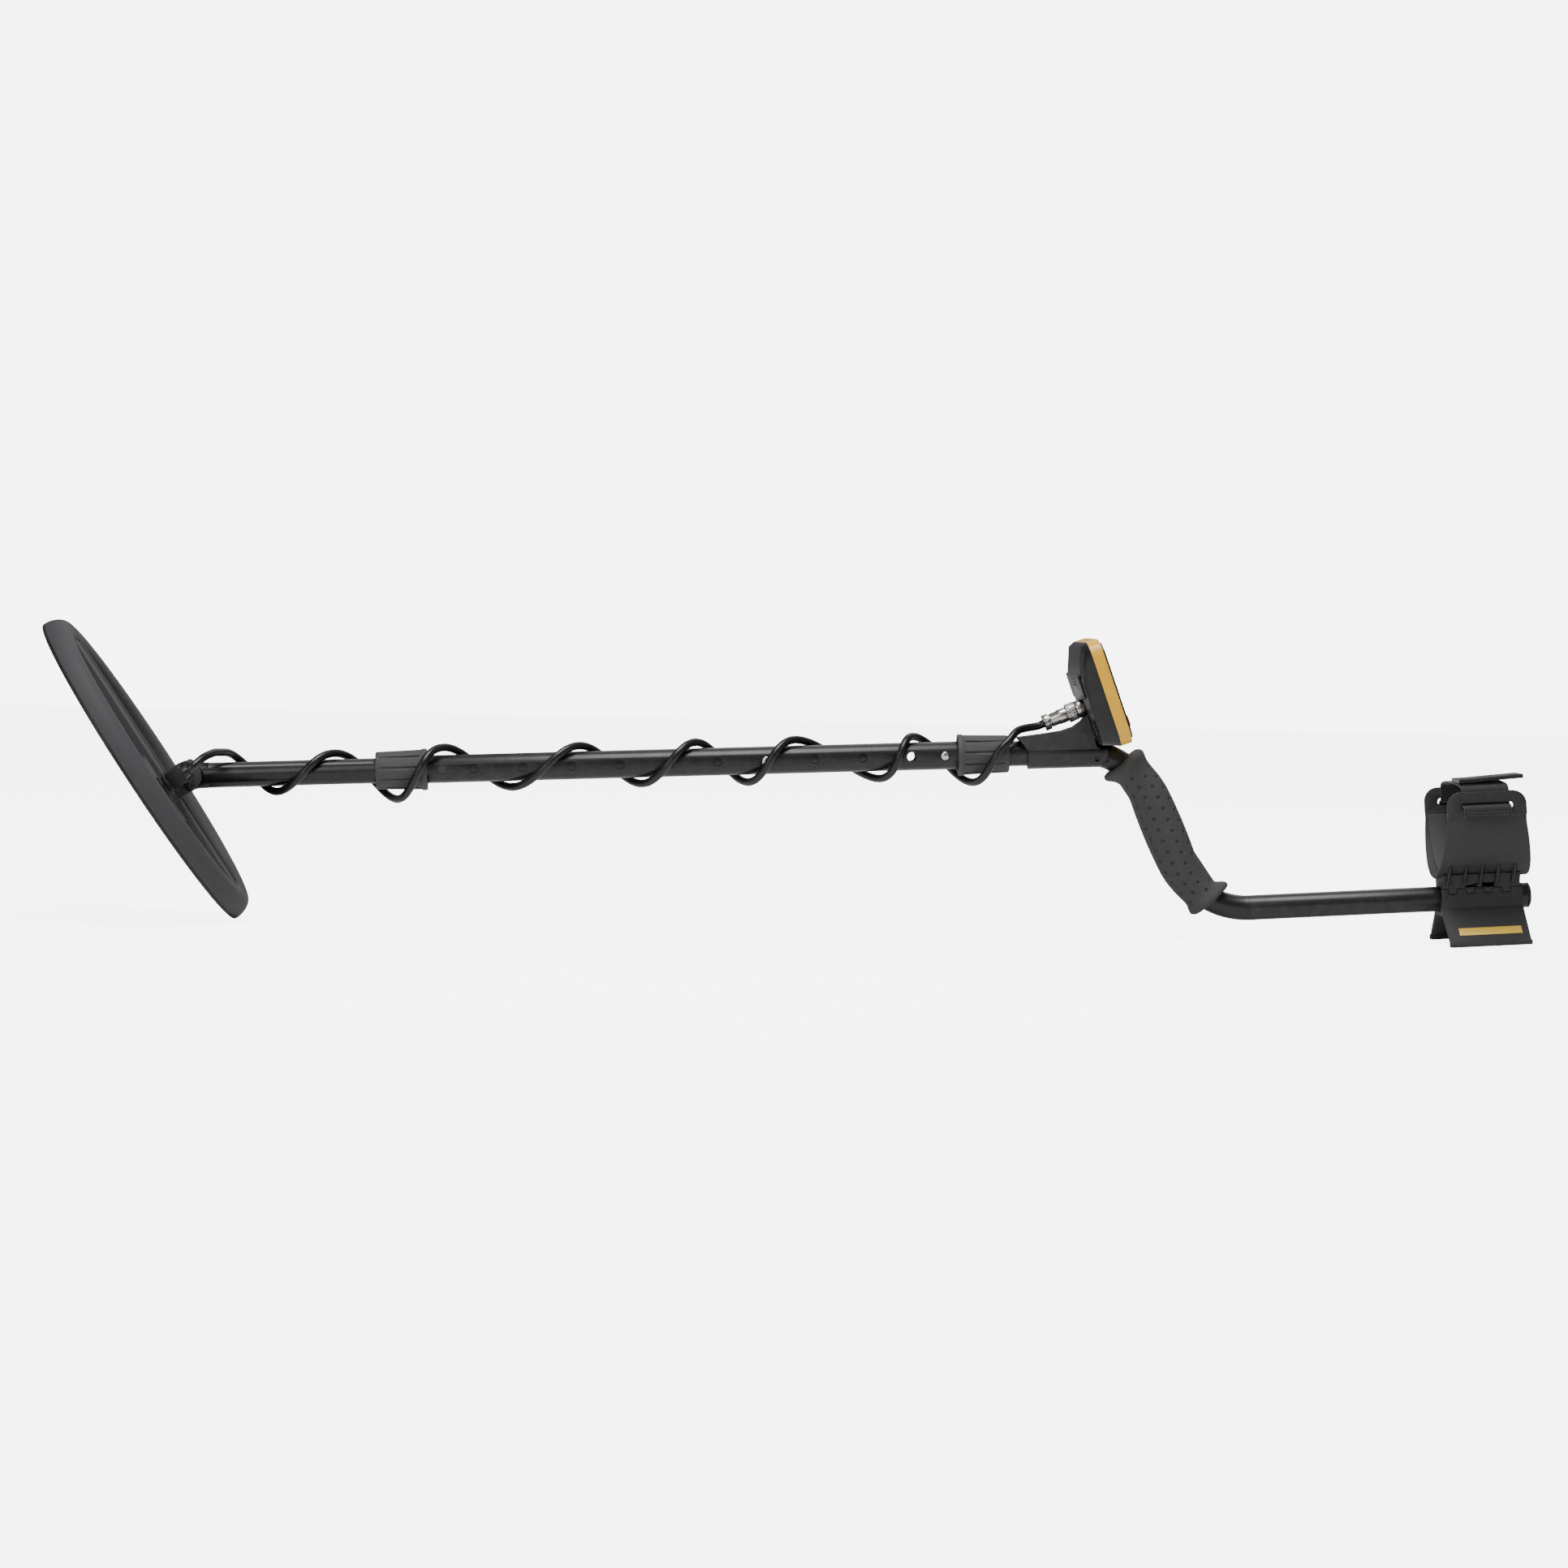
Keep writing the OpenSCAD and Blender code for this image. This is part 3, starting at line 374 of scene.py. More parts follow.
@dataclass(frozen=True)
class Finish:
    """A finish as a maker would name it, and the material that shows it."""

    name: str
    colour: Colour
    roughness: float
    surface: Surface = Surface.GRAIN
    metallic: float = 0.0
    specular: float = 0.5
    coat: float = 0.0
    fine: float = 900.0
    blotch: float = 30.0
    contrast: float = 0.18
    relief: float = 0.02
    wear: float = 0.0
    wear_colour: Colour = (0.07, 0.07, 0.072)
    dust: float = 0.02
    sheen: float = 0.0
    alpha: float = 1.0

    def material(self) -> bpy.types.Material:
        """Builds the material, or returns the one that was built before."""
        known = bpy.data.materials.get(self.name)
        if known is not None:
            return known
        made = bpy.data.materials.new(self.name)
        made.use_nodes = True
        made.node_tree.nodes.clear()
        g = Graph(made.node_tree)
        place = g.add("ShaderNodeTexCoord")
        where = place.outputs["UV" if self.surface is Surface.WEAVE else "Object"]
        relief = self._relief(g, where)
        tone, height = relief.outputs["Tone"], relief.outputs["Height"]
        # the tone holds random grain, and for pores and webbing also painted shade in the pits and
        # dips
        base = g.mix(1.0, (*self.colour, 1.0), tone, "MULTIPLY")
        swing = g.math("SUBTRACT", tone, 1.0)
        rough = g.math("ADD", self.roughness, g.math("MULTIPLY", swing, -0.35))
        if self.wear:
            wear = self._group(g, GROUPS.edge_wear, place.outputs["Object"], Amount=self.wear)
            base = g.mix(wear.outputs["Mask"], base, (*self.wear_colour, 1.0))
            rough = g.math("SUBTRACT", rough, g.math("MULTIPLY", wear.outputs["Mask"], 0.12))
        if self.dust:
            dust = self._group(g, GROUPS.dust, place.outputs["Object"], Amount=self.dust)
            base = g.mix(dust.outputs["Mask"], base, DUST_COLOUR)
            rough = g.math("ADD", rough, g.math("MULTIPLY", dust.outputs["Mask"], 0.5))
        bump = g.add(
            "ShaderNodeBump", {"Height": height, "Strength": 1.0, "Distance": self.relief * MM}
        )
        shader = g.add(
            "ShaderNodeBsdfPrincipled",
            {
                "Base Color": base,
                "Roughness": g.math("MAXIMUM", g.math("MINIMUM", rough, 1.0), 0.04),
                "Metallic": self.metallic,
                "Specular IOR Level": self.specular,
                "Coat Weight": self.coat,
                "Coat Roughness": 0.08,
                "Sheen Weight": self.sheen,
                "Alpha": self.alpha,
                "Normal": bump.outputs[0],
            },
        )
        g.add("ShaderNodeOutputMaterial", {"Surface": shader.outputs[0]})
        return made

    def _relief(self, g: Graph, where: bpy.types.NodeSocket) -> bpy.types.Node:
        """Places the group that this finish's surface calls for."""
        if self.surface is Surface.PORES:
            return self._group(g, GROUPS.pores, where, Scale=self.fine)
        if self.surface is Surface.WEAVE:
            return self._group(g, GROUPS.weave, where, Ribs=self.fine, Threads=self.blotch)
        values = {"Fine Scale": self.fine, "Blotch Scale": self.blotch, "Contrast": self.contrast}
        return self._group(g, GROUPS.grain, where, **values)

    @staticmethod
    def _group(g: Graph, tree: bpy.types.NodeTree, where: Any, **values: float) -> bpy.types.Node:
        """Places a shared group with its own values."""
        node = g.add("ShaderNodeGroup", node_tree=tree)
        g.tree.links.new(where, node.inputs["Vector"])
        for key, value in values.items():
            node.inputs[key].default_value = value
        return node


COIL = Finish("coil_plastic", (0.006, 0.006, 0.0065), 0.36, fine=1400, wear=0.2, dust=0.015)
COVER = Finish("coil_cover_plastic", (0.005, 0.005, 0.0055), 0.45, fine=1100, wear=0.2, dust=0.02)
STEM = Finish("stem_nylon", (0.005, 0.005, 0.0055), 0.32, fine=1500, relief=0.012, wear=0.15)
TUBE = Finish("tube_powder_coat", (0.008, 0.008, 0.0085), 0.34, fine=2200, relief=0.014, wear=0.2)
COLLAR = Finish("collar_plastic", (0.009, 0.0088, 0.009), 0.46, fine=1300, contrast=0.5, wear=0.25)
LOCK = Finish("lock_plastic", (0.006, 0.006, 0.006), 0.5)
SPARK = Finish(
    "saddle_spark_texture", (0.024, 0.023, 0.0235), 0.58, fine=1500, contrast=1.1, relief=0.08,
    wear=0.2,
)
SATIN = Finish(
    "satin_black_plastic", (0.006, 0.006, 0.0065), 0.36, fine=1500, relief=0.012, wear=0.2
)
CASE = Finish("case_black_plastic", (0.004, 0.004, 0.0045), 0.4, fine=1700, relief=0.015, wear=0.15)
CUFF = Finish("cuff_plastic", (0.0045, 0.0045, 0.005), 0.34, fine=1300, relief=0.014, wear=0.15)
CUFF_BAND = Finish(
    "cuff_textured_band", (0.017, 0.016, 0.0165), 0.6, fine=1100, contrast=1.3, relief=0.1, wear=0.2
)
STAND = Finish(
    "stand_plastic", (0.009, 0.0087, 0.009), 0.48, fine=1300, contrast=0.8, relief=0.04, wear=0.35
)
# both foams take the pores group, which paints shade into their pits
FOAM = Finish(
    "grip_foam", (0.009, 0.0087, 0.0088), 0.52, Surface.PORES, fine=1500, relief=0.02, dust=0.015
)
LINER = Finish("liner_foam", (0.02, 0.02, 0.021), 0.75, Surface.PORES, fine=1200, relief=0.06)
CABLE = Finish(
    "cable_sheath", (0.0045, 0.0045, 0.005), 0.3, fine=1600, relief=0.006, contrast=0.2, dust=0.03
)
RUBBER = Finish("soft_rubber", (0.007, 0.007, 0.007), 0.55, fine=1200)
YELLOW = Finish(
    "bezel_yellow", (0.9, 0.34, 0.0), 0.32, coat=0.15, contrast=0.08, relief=0.004, dust=0.015,
    wear=0.15, wear_colour=(0.95, 0.62, 0.2),
)
MARK = Finish("bar_print_yellow", (0.85, 0.55, 0.06), 0.4, contrast=0.25, fine=700, dust=0.08)
PANEL = Finish("membrane_panel", (0.005, 0.005, 0.0055), 0.3, contrast=0.15, relief=0.006)
GLASS = Finish(
    "display_cover", (0.03, 0.035, 0.032), 0.06, coat=1.0, relief=0.0, contrast=0.05, dust=0.01,
    alpha=0.28,
)
LCD = Finish("liquid_crystal", (0.33, 0.38, 0.27), 0.35, contrast=0.08, relief=0.0)
SEGMENT = Finish("display_segment", (0.025, 0.03, 0.02), 0.4, relief=0.0)
NICKEL = Finish(
    "nickel_plate", (0.56, 0.54, 0.51), 0.2, metallic=1.0, contrast=0.25, fine=1200, relief=0.006,
    wear=0.3, wear_colour=(0.75, 0.73, 0.7), dust=0.03,
)
STEEL = Finish("zinc_steel", (0.42, 0.42, 0.43), 0.32, metallic=1.0, fine=900, relief=0.008)
SHINY = Finish("polished_steel", (0.7, 0.69, 0.68), 0.14, metallic=1.0, relief=0.003, dust=0.0)
COPPER = Finish("varnished_copper", (0.5, 0.2, 0.08), 0.3, metallic=1.0, fine=2500, relief=0.1)
BOARD = Finish("solder_mask", (0.02, 0.12, 0.05), 0.35, fine=600, contrast=0.6)
CELLS = Finish("cell_sleeve", (0.12, 0.14, 0.16), 0.3, metallic=0.4)
KEY_GREY = Finish("key_grey_rubber", (0.07, 0.07, 0.073), 0.55)
KEY_RED = Finish("key_red_rubber", (0.42, 0.03, 0.02), 0.5)
KEY_YELLOW = Finish("key_yellow_rubber", (0.75, 0.4, 0.03), 0.5)
# the webbing takes the weave group, which paints shade into the dips of the weave
WEBBING = Finish(
    "strap_webbing", (0.009, 0.0088, 0.009), 0.68, Surface.WEAVE, fine=2400, blotch=3000,
    relief=0.15, sheen=0.25,
)
STITCH = Finish("stitch_thread", (0.05, 0.05, 0.052), 0.6, fine=3000, relief=0.05)


# ---------------------------------------------------------------- mesh work

BODY_OF = {
    node: body for body, nodes in frame["record"]["behaviour"]["bodies"].items() for node in nodes
}


def finished_object(
    name: str, bm: bmesh.types.BMesh, finish: Finish, sharp: float = SHARP
) -> bpy.types.Object:
    """Turns a bmesh into a shaded object.

    Args:
        name: The piece's name.
        bm: The mesh, which is freed.
        finish: Its finish.
        sharp: The angle in degrees past which an edge stays sharp.

    Returns:
        The object, at the origin.
    """
    mesh = bpy.data.meshes.new(name)
    bm.to_mesh(mesh)
    bm.free()
    made = bpy.data.objects.new(name, mesh)
    bpy.context.scene.collection.objects.link(made)
    shade(made, sharp)
    mesh.materials.append(finish.material())
    return made


def shade(made: bpy.types.Object, sharp: float) -> None:
    """Shades an object smooth, save at edges sharper than an angle in degrees."""
    made.data.polygons.foreach_set("use_smooth", [True] * len(made.data.polygons))
    made.data.set_sharp_from_angle(angle=math.radians(sharp))


def applied(made: bpy.types.Object) -> bpy.types.Object:
    """Replaces an object's mesh with its evaluated one and drops its modifiers."""
    bpy.context.view_layer.update()
    ready = made.evaluated_get(bpy.context.evaluated_depsgraph_get())
    mesh = bpy.data.meshes.new_from_object(ready)
    mesh.name = made.name
    made.modifiers.clear()
    made.data = mesh
    return made


def extent(mesh: bpy.types.Mesh) -> tuple[Vector, Vector]:
    """The lowest and highest corners of a mesh."""
    low = Vector(min(v.co[i] for v in mesh.vertices) for i in range(3))
    high = Vector(max(v.co[i] for v in mesh.vertices) for i in range(3))
    return low, high


def rounded_edges(made: bpy.types.Object, width: float, segments: int = 2) -> bpy.types.Object:
    """Rounds an object's edges, and keeps the plain mesh where the rounding goes wrong.

    Args:
        made: The object.
        width: The rounding's width in millimetres.
        segments: How many faces go round each edge.

    Returns:
        The same object, with no modifier.
    """
    plain = made.data
    low, high = extent(plain)
    for share in (1.0, 0.5):
        bevel = made.modifiers.new("rounding", "BEVEL")
        bevel.width = width * share * MM
        bevel.segments = segments
        bevel.limit_method = "ANGLE"
        bevel.angle_limit = math.radians(34)
        bevel.use_clamp_overlap = False
        bevel.miter_outer = "MITER_ARC"
        applied(made)
        a, b = extent(made.data)
        if (a - low).length < STRAY and (b - high).length < STRAY:
            return made
        made.data = plain
    return made


@dataclass(frozen=True)
class Carried:
    """A CAD node that is shown as it is, or as a copy with rounded edges."""

    node: str
    finish: Finish
    rounding: float = 0.0
    sharp: float = SHARP

    def dress(self) -> bpy.types.Object:
        """Builds the copy, or gives the node itself its finish."""
        source = frame["nodes"][self.node]
        if not self.rounding:
            source.data.materials.clear()
            source.data.materials.append(self.finish.material())
            log.info("%s: CAD solid with %s", self.node, self.finish.name)
            return source
        bm = bmesh.new()
        bm.from_mesh(source.data)
        bmesh.ops.remove_doubles(bm, verts=bm.verts, dist=WELD)
        bmesh.ops.dissolve_limit(
            bm,
            angle_limit=math.radians(FLAT),
            verts=bm.verts,
            edges=bm.edges,
            use_dissolve_boundaries=False,
        )
        made = finished_object(self.node + "_soft", bm, self.finish, self.sharp)
        rounded_edges(made, self.rounding)
        shade(made, self.sharp)
        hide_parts(self.node)
        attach(made, BODY_OF[self.node])
        log.info("%s: rounded copy with %s", self.node, self.finish.name)
        return made


def dress_all(*rows: tuple[Any, ...]) -> None:
    """Dresses several nodes.

    Args:
        rows: Each node's name, finish and rounding, as Carried takes them.
    """
    for row in rows:
        Carried(*row).dress()


def lofted(
    rings: Sequence[Sequence[Vector]], close_path: bool = False, cap: bool = True
) -> bmesh.types.BMesh:
    """Joins rings of equal count into one skin.

    Args:
        rings: The rings, in order.
        close_path: True joins the last ring to the first.
        cap: True closes the two end rings.

    Returns:
        The bmesh, with its normals outwards.
    """
    bm = bmesh.new()
    made = [[bm.verts.new(p) for p in ring] for ring in rings]
    pairs = list(zip(made, made[1:] + ([made[0]] if close_path else [])))
    n = len(made[0])
    for a, b in pairs if close_path else pairs[: len(made) - 1]:
        for i in range(n):
            bm.faces.new((a[i], a[(i + 1) % n], b[(i + 1) % n], b[i]))
    if cap and not close_path:
        bm.faces.new(made[0][::-1])
        bm.faces.new(made[-1])
    bmesh.ops.recalc_face_normals(bm, faces=bm.faces)
    return bm


def join_bmesh(parts: Iterable[bmesh.types.BMesh]) -> bmesh.types.BMesh:
    """Puts several bmeshes into one, and frees them."""
    whole = bmesh.new()
    for part in parts:
        mesh = bpy.data.meshes.new("part")
        part.to_mesh(mesh)
        part.free()
        whole.from_mesh(mesh)
        bpy.data.meshes.remove(mesh)
    return whole


def catmull(a: float, b: float, c: float, d: float, t: float) -> float:
    """The value between b and c on a smooth curve through four numbers."""
    return 0.5 * (
        2 * b + (c - a) * t + (2 * a - 5 * b + 4 * c - d) * t * t + (3 * b - a - 3 * c + d) * t**3
    )


def smooth_rows(rows: Sequence[Sequence[float]], steps: Callable[[int], int]) -> list[list[float]]:
    """Rows on a smooth curve through the given ones.

    Args:
        rows: The rows to pass through.
        steps: How many steps each span takes.

    Returns:
        The finer rows, ends included.
    """
    last = len(rows) - 1
    fine = []
    for k in range(last):
        four = [rows[max(0, min(last, k + j))] for j in (-1, 0, 1, 2)]
        for i in range(steps(k)):
            fine.append([catmull(*(r[c] for r in four), i / steps(k)) for c in range(len(rows[0]))])
    fine.append(list(rows[last]))
    return fine


# ---------------------------------------------------------------- geometry node trees


class Repeats:
    """The geometry node trees that make what repeats."""

    def __init__(self) -> None:
        """Builds every tree."""
        self.dimples = self._dimples()
        self.on_points = self._on_points()

    @staticmethod
    def _dimples() -> bpy.types.NodeTree:
        """Pushes a surface in round the points of another object."""
        g, takes, gives = new_group(
            "dimples",
            "GeometryNodeTree",
            {
                "Geometry": ("NodeSocketGeometry", None),
                "Centres": ("NodeSocketObject", None),
                "Radius": (FLOAT, 0.0015),
                "Depth": (FLOAT, 0.0008),
                "Material": ("NodeSocketMaterial", None),
            },
            {"Geometry": "NodeSocketGeometry"},
        )
        source = takes.outputs
        centres = g.add("GeometryNodeObjectInfo", {"Object": source["Centres"]})
        spots = centres.outputs["Geometry"]
        near = g.add("GeometryNodeProximity", {0: spots}, target_element="POINTS")
        share = g.math("DIVIDE", near.outputs["Distance"], source["Radius"])
        hollow = g.add(
            "ShaderNodeMapRange",
            {0: share, 1: 0.25, 2: 1.0, 3: 1.0, 4: 0.0},
            interpolation_type="SMOOTHSTEP",
        )
        push = g.math("MULTIPLY", g.math("MULTIPLY", hollow.outputs[0], source["Depth"]), -1.0)
        normal = g.add("GeometryNodeInputNormal")
        offset = g.add(
            "ShaderNodeVectorMath", {0: normal.outputs[0], "Scale": push}, operation="SCALE"
        )
        moved = g.add(
            "GeometryNodeSetPosition",
            {"Geometry": source["Geometry"], "Offset": offset.outputs[0]},
        )
        real = g.add("GeometryNodeRealizeInstances", {0: moved.outputs[0]})
        dressed = g.add(
            "GeometryNodeSetMaterial", {0: real.outputs[0], "Material": source["Material"]}
        )
        g.tree.links.new(dressed.outputs[0], gives.inputs[0])
        return g.tree

    @staticmethod
    def _on_points() -> bpy.types.NodeTree:
        """Puts one shape on every vertex, its Z along the vertex normal."""
        g, takes, gives = new_group(
            "shape_on_points",
            "GeometryNodeTree",
            {
                "Geometry": ("NodeSocketGeometry", None),
                "Shape": ("NodeSocketObject", None),
                "Size": (FLOAT, 1.0),
                "Material": ("NodeSocketMaterial", None),
            },
            {"Geometry": "NodeSocketGeometry"},
        )
        source = takes.outputs
        shape = g.add("GeometryNodeObjectInfo", {"Object": source["Shape"]})
        facing, along_axis = (
            g.add("GeometryNodeInputNamedAttribute", {"Name": label}, data_type="FLOAT_VECTOR")
            for label in ("facing", "along")
        )
        turn = g.add(
            "FunctionNodeAxesToRotation",
            {0: facing.outputs[0], 1: along_axis.outputs[0]},
            primary_axis="Z",
            secondary_axis="X",
        )
        placed = g.add(
            "GeometryNodeInstanceOnPoints",
            {
                "Points": source["Geometry"],
                "Instance": shape.outputs["Geometry"],
                "Rotation": turn.outputs[0],
                "Scale": source["Size"],
            },
        )
        real = g.add("GeometryNodeRealizeInstances", {0: placed.outputs[0]})
        dressed = g.add(
            "GeometryNodeSetMaterial", {0: real.outputs[0], "Material": source["Material"]}
        )
        g.tree.links.new(dressed.outputs[0], gives.inputs[0])
        return g.tree

    @staticmethod
    def run(made: bpy.types.Object, tree: bpy.types.NodeTree, **values: Any) -> bpy.types.Object:
        """Runs a tree on an object and keeps the plain mesh that it gives.

        Args:
            made: The object.
            tree: The tree.
            values: Inputs by name, with "_" for a space.

        Returns:
            The same object.
        """
        modifier = made.modifiers.new(tree.name, "NODES")
        modifier.node_group = tree
        known = {s.name: s.identifier for s in tree.interface.items_tree if s.in_out == "INPUT"}
        for label, value in values.items():
            modifier[known[label.replace("_", " ")]] = value
        return applied(made)


REPEATS = Repeats()


def pattern(
    name: str,
    spots: Sequence[tuple[Vector, Vector, Vector]],
    shape: bmesh.types.BMesh,
    finish: Finish,
    body: str,
) -> bpy.types.Object:
    """Repeats a small shape at many spots.

    Args:
        name: The piece's name.
        spots: Each spot's place, the way it faces and the way its X runs.
        shape: The shape, about the origin, facing +Z.
        finish: Its finish.
        body: The body that it rides on.

    Returns:
        The piece.
    """
    part = finished_object(name + "_shape", shape, finish)
    mesh = bpy.data.meshes.new(name)
    mesh.from_pydata([s[0] for s in spots], [], [])
    for label, index in (("facing", 1), ("along", 2)):
        values = mesh.attributes.new(label, "FLOAT_VECTOR", "POINT")
        values.data.foreach_set("vector", [c for s in spots for c in s[index]])
    made = bpy.data.objects.new(name, mesh)
    bpy.context.scene.collection.objects.link(made)
    REPEATS.run(made, REPEATS.on_points, Shape=part, Material=finish.material())
    bpy.data.objects.remove(part)
    shade(made, SHARP)
    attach(made, body)
    log.info("%s: %d times with %s", name, len(spots), finish.name)
    return made


def turned_shape(profile: Sequence[tuple[float, float]], count: int) -> bmesh.types.BMesh:
    """A small turned solid about Z, from (radius, height) pairs in millimetres."""
    here = Matrix.Identity(4)
    return lofted([ellipse(here, r, r, 0.0, z, count) for r, z in profile])


def block_shape(x: float, y: float, z: float, chamfer: float) -> bmesh.types.BMesh:
    """A chamfered block about the origin, its base at Z = 0, in millimetres."""
    rings = []
    for inset, level in ((0.0, 0.0), (0.0, z - chamfer), (chamfer, z)):
        a, b = x / 2 - inset, y / 2 - inset
        corners = ((-a, -b), (a, -b), (a, b), (-a, b))
        rings.append([Vector((px, py, level)) * MM for px, py in corners])
    return lofted(rings)


# ---------------------------------------------------------------- the coil


@dataclass
class SearchCoil:
    """The oval coil: rim, web, spine, hub and the two ears on the pivot."""

    half_length: float = 139.0
    half_width: float = 108.0
    middle: float = -23.0
    ground: float = -30.6
    web_top: float = 9.0
    web_under: float = 6.4
    spine_half: float = 20.0
    spine_top: float = 15.0
    ridge_top: float = 16.6
    hub: tuple[float, float, float] = (34.0, 56.0, 13.0)
    ear_radius: float = 12.0
    ear_y: tuple[float, float] = (10.2, 15.2)
    steps: int = 168
    screws: int = 10
    screw_inset: float = 11.0

    def oval(self, inset: float, level: float) -> list[Vector]:
        """One oval of the coil, at an inset and a height above its ground face."""
        a, b = self.half_length - inset, self.half_width - inset
        return ellipse(ON_COIL, a, b, self.middle, self.ground + level, self.steps)

    def rim(self) -> bmesh.types.BMesh:
        """The hollow rim with its rounded shoulder."""
        profile = (
            (3.0, 2.5), (0.6, 2.5), (0.2, 2.9), (0.4, 5.5), (1.1, 8.4), (2.2, 11.2), (3.8, 13.9),
            (5.6, 15.9), (7.8, 17.3), (10.4, 18.0), (14.0, 18.0), (18.0, 17.6), (21.0, 16.8),
            (22.8, 15.6), (23.6, 14.0), (24.0, 11.5), (24.2, 9.4), (24.8, 8.6), (24.8, 6.4),
            (20.0, 6.4), (19.0, 2.5),
        )
        return lofted([self.oval(*p) for p in profile], close_path=True)

    def web(self) -> bmesh.types.BMesh:
        """The thin floor inside the rim."""
        levels = ((23.0, self.web_under), (23.0, self.web_top))
        return lofted([self.oval(*p) for p in levels])

    def spine_reach(self, y: float) -> float:
        """Half of the spine's length at a distance from its middle line."""
        a, b = self.half_length - 23.4, self.half_width - 23.4
        return a * math.sqrt(1 - (y / b) ** 2)

    def spine(self) -> bmesh.types.BMesh:
        """The raised spine with a ridge along either side."""
        half, top, ridge = self.spine_half, self.spine_top, self.ridge_top
        side = [
            (half + 0.8, self.web_top - 0.6), (half, self.web_top + 1.0), (half - 0.1, ridge - 1.0),
            (half - 0.5, ridge - 0.3), (half - 1.2, ridge), (half - 2.4, ridge),
            (half - 3.1, ridge - 0.3),
            (half - 3.5, top + 0.5), (half - 4.3, top), (half - 8, top + 0.05),
        ]
        outline = side + [(0.0, top + 0.15)] + [(-y, z) for y, z in reversed(side)]
        rings = []
        count = 24
        for k in range(count + 1):
            share = 2 * k / count - 1
            rings.append(
                [
                    at(ON_COIL, self.middle + share * self.spine_reach(y), y, self.ground + z)
                    for y, z in outline
                ]
            )
        return lofted(rings)

    def hub_mound(self) -> bmesh.types.BMesh:
        """The oval mound that the ears stand on."""
        a, b, top = self.hub
        levels = ((-1.2, 8.4), (0.0, 9.6), (0.0, top - 1.4), (0.4, top - 0.4), (1.6, top))
        return lofted(
            [ellipse(ON_COIL, a - d, b - d, 0.0, self.ground + z, 96) for d, z in levels]
        )

    def ear(self, side: int) -> bmesh.types.BMesh:
        """One rounded ear, with a foot that flares into the mound."""
        r, foot = self.ear_radius, self.ground + 8.0
        outline = [(r + 3.0, foot), (r + 0.4, foot + 5.6), (r, foot + 11)]
        turns = [math.pi * i / 24 for i in range(25)]
        outline += [(r * math.cos(t), r * math.sin(t)) for t in turns]
        outline += [(-r, foot + 11), (-r - 0.4, foot + 5.6), (-r - 3.0, foot)]
        y0, y1 = self.ear_y
        rings = []
        for y, inset in ((y0, 0.5), (y0 + 0.4, 0.0), (y1 - 0.7, 0.0), (y1 - 0.2, 0.2), (y1, 0.7)):
            shrink = 1 - inset / r
            rings.append(
                [
                    at(ON_COIL, x * shrink, side * y, z * shrink if z > foot else z)
                    for x, z in outline
                ]
            )
        return lofted(rings)

    def build(self) -> None:
        """Makes the coil's own pieces and dresses its small hardware."""
        shell = join_bmesh(
            [self.rim(), self.web(), self.spine(), self.hub_mound(), self.ear(1), self.ear(-1)]
        )
        made = finished_object("coil_body", shell, COIL, 46)
        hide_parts("coil_shell")
        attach(made, "coil")
        log.info("coil_body: built with %s", COIL.name)
        levels = ((1.8, 0.0), (0.9, 0.25), (0.35, 0.9), (0.2, 1.6), (0.3, 2.3), (0.7, 2.4))
        skid = lofted([self.oval(*p) for p in levels])
        cover = finished_object("coil_skid_cover", skid, COVER, 46)
        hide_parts("coil_cover")
        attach(cover, "coil")
        dress_all(
            ("cable_gland", RUBBER, 0.4), ("gland_nut", SATIN, 0.25), ("tilt_bolt", SATIN, 0.3),
            ("left_wing_nut", SATIN, 0.7), ("right_wing_nut", SATIN, 0.7),
            ("stem_washers", RUBBER, 0.25), ("transmit_winding", COPPER),
            ("receive_winding", COPPER),
        )
        self.skid_screws()

    def skid_screws(self) -> None:
        """The screws that hold the cover to the shell, seen from below."""
        facing = way(ON_COIL, 0, 0, -1).normalized()
        run = way(ON_COIL, 1, 0, 0).normalized()
        a, b = self.half_length - self.screw_inset, self.half_width - self.screw_inset
        spots = []
        for i in range(self.screws):
            t = 2 * math.pi * (i + 0.5) / self.screws
            x, y = self.middle + a * math.cos(t), b * math.sin(t)
            spots.append((at(ON_COIL, x, y, self.ground + 0.35), facing, run))
        head = turned_shape(((2.9, 0.0), (2.9, 0.1), (2.6, 0.3), (1.3, 0.34), (1.1, 0.05)), 20)
        pattern("skid_screws", spots, head, STEEL, "coil")


# ---------------------------------------------------------------- the shaft


@dataclass
class Shaft:
    """The stem, the middle tube, the twist locks and the handle tube."""

    def build(self) -> None:
        """Dresses the tubes and their fittings."""
        dress_all(
            ("lower_stem", STEM, 0.4), ("middle_tube", TUBE, 0.25), ("handle_tube", TUBE, 0.25),
            ("lower_collar", COLLAR, 0.25), ("upper_collar", COLLAR, 0.25),
            ("lower_lock_sleeve", LOCK), ("upper_lock_sleeve", LOCK), ("lower_collet", LOCK),
            ("upper_collet", LOCK), ("lower_spring_clip", STEEL), ("upper_spring_clip", STEEL),
            ("lower_button_left", SHINY), ("lower_button_right", SHINY),
            ("upper_button_left", SHINY), ("upper_button_right", SHINY),
            ("tube_end_cap", RUBBER, 0.5),
        )


